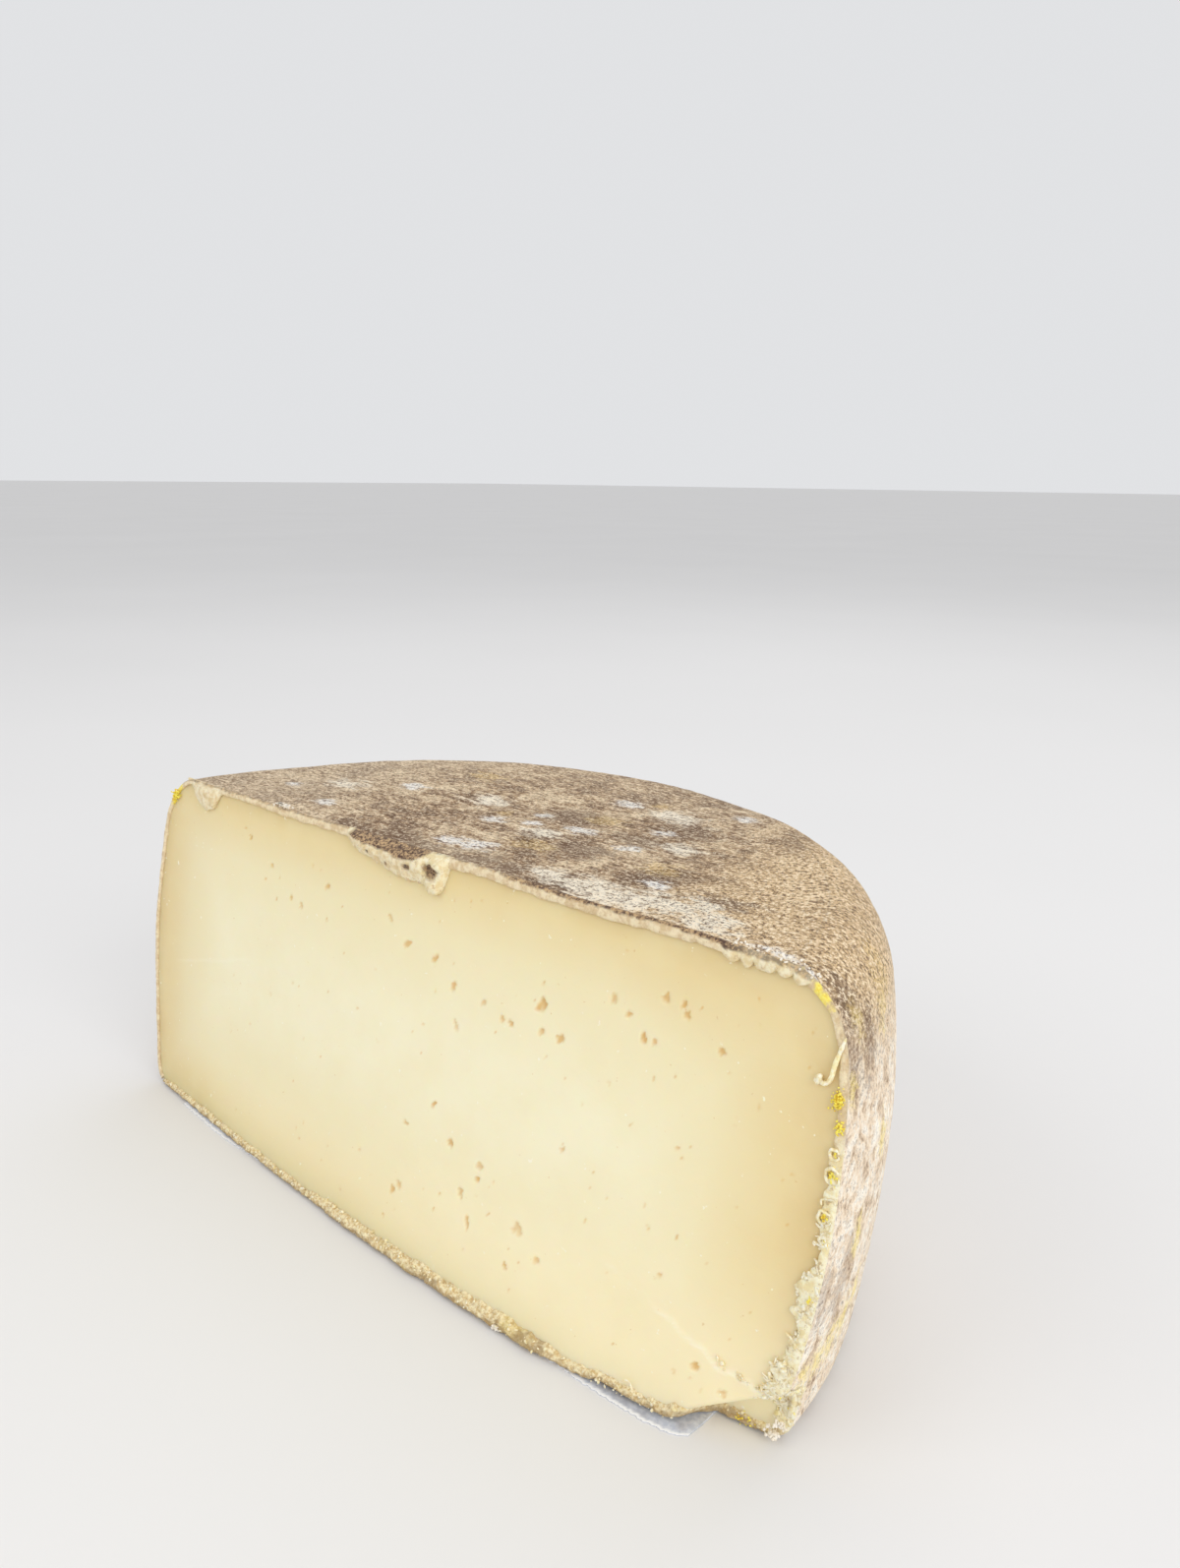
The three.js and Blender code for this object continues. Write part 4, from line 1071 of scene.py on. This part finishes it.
# Yellow growths away from the right edge, in the same way
YELLOW_TUFTS = ((-118.6, 10.8, 97.6, 0.8, 120), (-120.2, 11.0, 95.6, 0.6, 50), (112.5, -0.3, 1.5, 0.7, 22),
                (110.5, -0.6, 1.4, 0.5, 14))
FRINGE_FROM, FRINGE_TO, FRINGE_BITS = 95.0, 116.0, 64
YELLOW_BEAD, WHITE_BEAD, FRINGE_BIT = (0.14, 0.32), (0.15, 0.48), (0.12, 0.42)


def mould_piece(name, places, radii, seed, dull, bright):
    """One piece of small dusty beads, kept inside the wheel's wall."""
    reach = wheel_radius(places[:, 2]) - 0.5 * radii
    places[:, :2] *= np.minimum(1, reach / np.hypot(places[:, 0], places[:, 1]))[:, None]
    places[:, 2] = np.maximum(places[:, 2], 0.8 * radii)
    piece = mesh_piece(name, *joined(crumb_shapes(places, radii, seed, 0.3)))
    finish = Finish(name)
    dust = finish.noise(0.8, 4, 0.65, seed=24)
    finish.put_on(
        piece,
        Base_Color=finish.mix(finish.between(dust, 0.36, 0.6), dull, bright),
        Roughness=0.85,
        Normal=finish.bump(dust, 0.3, 0.8),
    )
    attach(piece, "root")
    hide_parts("cheese")


places, radii = [], []
for z, inset, spread, count in YELLOW_SPOTS:
    middle = near_right_edge(np.array([z]), np.array([inset]), 0.5)
    places.append(middle + rng.normal(size=(count, 3)) * (0.6, 0.35, 0.9) * spread)
    radii.append(rng.uniform(*YELLOW_BEAD, count))
for x, y, z, spread, count in YELLOW_TUFTS:
    places.append((x, y, z) + rng.normal(size=(count, 3)) * (1, 0.4, 1.1) * spread)
    radii.append(rng.uniform(*YELLOW_BEAD, count))
mould_piece("yellow_mould", np.concatenate(places), np.concatenate(radii), 64,
            paint(238, 200, 54), paint(255, 244, 110))
places, radii = [], []
for x, y, z, spread, count in WHITE_TUFTS:
    places.append((x, y, z) + rng.normal(size=(count, 3)) * (1, 0.6, 0.5) * spread)
    radii.append(rng.uniform(*WHITE_BEAD, count))
fringe_x = rng.uniform(FRINGE_FROM, FRINGE_TO, FRINGE_BITS)
fringe_at = np.interp(fringe_x, edge[:, 0], np.arange(len(edge)))
places.append(edge[fringe_at.astype(int)] + rng.normal(size=(FRINGE_BITS, 3)) * (0.3, 0.9, 0.1) + (0, 0.9, 0))
radii.append(rng.uniform(*FRINGE_BIT, FRINGE_BITS))
mould_piece("white_mould", np.concatenate(places), np.concatenate(radii), 66,
            paint(236, 222, 198), paint(252, 246, 234))


# Label: thin bare paper stuck under the base, torn by the knife, with a fuzzy white front edge
# that sticks out in front of the cheese at the right and a little at the left.
LABEL_RADIUS, LABEL_CENTRE, LABEL_THICKNESS = 102.9, 2.0, 0.4
LABEL_COLUMNS, LABEL_ROWS = 901, 31
LABEL_END_Y = 12.0
# How far it sticks out in front of the foot, at places along x
STICKS_OUT = (
    (-96, 1.8), (-74, 1.8), (-60, 0.2), (-40, -0.8), (40, -0.8), (66, 0.2), (74, 1.2), (86, 2.2),
    (96, 2.8), (101, 2.2), (105, 0.8),
)
label_end = math.sqrt(LABEL_RADIUS**2 - LABEL_END_Y**2)
label_x = LABEL_CENTRE + np.linspace(-label_end, label_end, LABEL_COLUMNS)
foot_y = cut_face(label_x, BASE_LEVEL) - broken_corner(label_x, BASE_LEVEL)
fray_line = np.stack([label_x, 0 * label_x, 0 * label_x], -1)
fray = 0.35 * grain(fray_line, 5, 71, 2) + 0.4 * grain(fray_line, 0.7, 72, 2)
front_y = foot_y - np.interp(label_x, *np.array(STICKS_OUT).T) + fray
arc_angle = np.linspace(-1, 1, LABEL_COLUMNS) * (math.pi / 2 + 0.06)
arc = np.stack([LABEL_CENTRE + LABEL_RADIUS * np.sin(arc_angle), LABEL_RADIUS * np.cos(arc_angle)], -1)
arc[:, 1] = np.maximum(arc[:, 1], front_y + 0.01)
out = (np.linspace(0, 1, LABEL_ROWS) ** 2.2)[:, None, None]
flat = np.stack([label_x, front_y], -1) * (1 - out) + arc * out
from_front = flat[..., 1] - front_y
ripple = LABEL_THICKNESS - 0.12 * (1 - smooth_step(0, 3, from_front))
sheet = np.concatenate([flat, ripple[..., None]], -1)
under = np.concatenate([flat, np.zeros(flat.shape[:2] + (1,))], -1)[::2, ::2]
unseen = np.zeros(under.shape[0] * under.shape[1])
label = mesh_piece("label", *backed_sheet(sheet, under, 2), {
    "fuzz": np.concatenate([smooth_step(1.1, 0.3, from_front).ravel(), unseen]),
})
finish = Finish("label_paper")
fibre = finish.noise(1.2, 3, 0.6, seed=31)
damp_stain = finish.noise(9, 3, 0.5, seed=32)
paper = finish.mix(finish.between(fibre, 0.38, 0.62), paint(196, 202, 214), paint(220, 224, 232))
paper = finish.mix(0.5 * finish.between(damp_stain, 0.48, 0.66), paper, paint(168, 164, 164))
paper = finish.mix(finish.field("fuzz"), paper, paint(248, 248, 248))
finish.put_on(label, Base_Color=paper, Roughness=0.8, Normal=finish.bump(fibre, 0.15, 0.6))
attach(label, "root")
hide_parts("label")


# Floor: plain and pale, and not part of the cheese.
FLOOR_SIZE = 60.0
bpy.ops.mesh.primitive_plane_add(size=FLOOR_SIZE)
floor = bpy.context.object
floor.name = "floor"
finish = Finish("floor")
finish.put_on(floor, Base_Color=finish.mix(finish.noise(400, 2), (0.76, 0.75, 0.74, 1), (0.8, 0.79, 0.78, 1)),
              Roughness=0.9)
floor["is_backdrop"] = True


# Light and camera: soft studio light from the front left, the right and behind, and the camera at the
# photograph's viewing angle.
def soft_light(name, place, size, power):
    lamp = bpy.data.lights.new(name, "AREA")
    lamp.size, lamp.energy = size, power
    light = bpy.data.objects.new(name, lamp)
    light.location = place
    aim = Vector((0.0, 0.04, 0.05)) - light.location
    light.rotation_euler = aim.to_track_quat("-Z", "Y").to_euler()
    bpy.context.scene.collection.objects.link(light)


STUDIO_COLOR, STUDIO_STRENGTH = (0.97, 0.98, 1.0, 1), 0.78
soft_light("key", (-0.5, -1.1, 1.1), 0.9, 3.7)
soft_light("fill", (1.35, -0.35, 0.75), 1.0, 8.4)
soft_light("top", (-0.2, 0.9, 1.4), 1.2, 4)
world = bpy.data.worlds.new("studio")
bpy.context.scene.world = world
world.use_nodes = True
world.node_tree.nodes["Background"].inputs[0].default_value = STUDIO_COLOR
world.node_tree.nodes["Background"].inputs[1].default_value = STUDIO_STRENGTH

PHOTO_LONG_SIDE = 1594
FOCAL_PIXELS = 1200
CAMERA_PLACE = Vector((0.2217, -0.1866, 0.1986))
CAMERA_PITCH, CAMERA_YAW, CAMERA_ROLL = (math.radians(a) for a in (14.49, 39.91, 0.66))
lens = bpy.data.cameras.new("camera")
lens.sensor_width = 36.0
lens.lens = lens.sensor_width * FOCAL_PIXELS / PHOTO_LONG_SIDE
lens.clip_start = 0.01
camera = bpy.data.objects.new("camera", lens)
ahead = Vector((-math.sin(CAMERA_YAW) * math.cos(CAMERA_PITCH), math.cos(CAMERA_YAW) * math.cos(CAMERA_PITCH),
                -math.sin(CAMERA_PITCH)))
level = Vector((math.cos(CAMERA_YAW), math.sin(CAMERA_YAW), 0))
above = level.cross(ahead)
across = level * math.cos(CAMERA_ROLL) + above * math.sin(CAMERA_ROLL)
up = above * math.cos(CAMERA_ROLL) - level * math.sin(CAMERA_ROLL)
camera.matrix_world = Matrix.Translation(CAMERA_PLACE) @ Matrix((across, up, -ahead)).transposed().to_4x4()
bpy.context.scene.collection.objects.link(camera)
bpy.context.scene.camera = camera
bpy.context.scene.view_settings.view_transform = "Standard"

low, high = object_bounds()
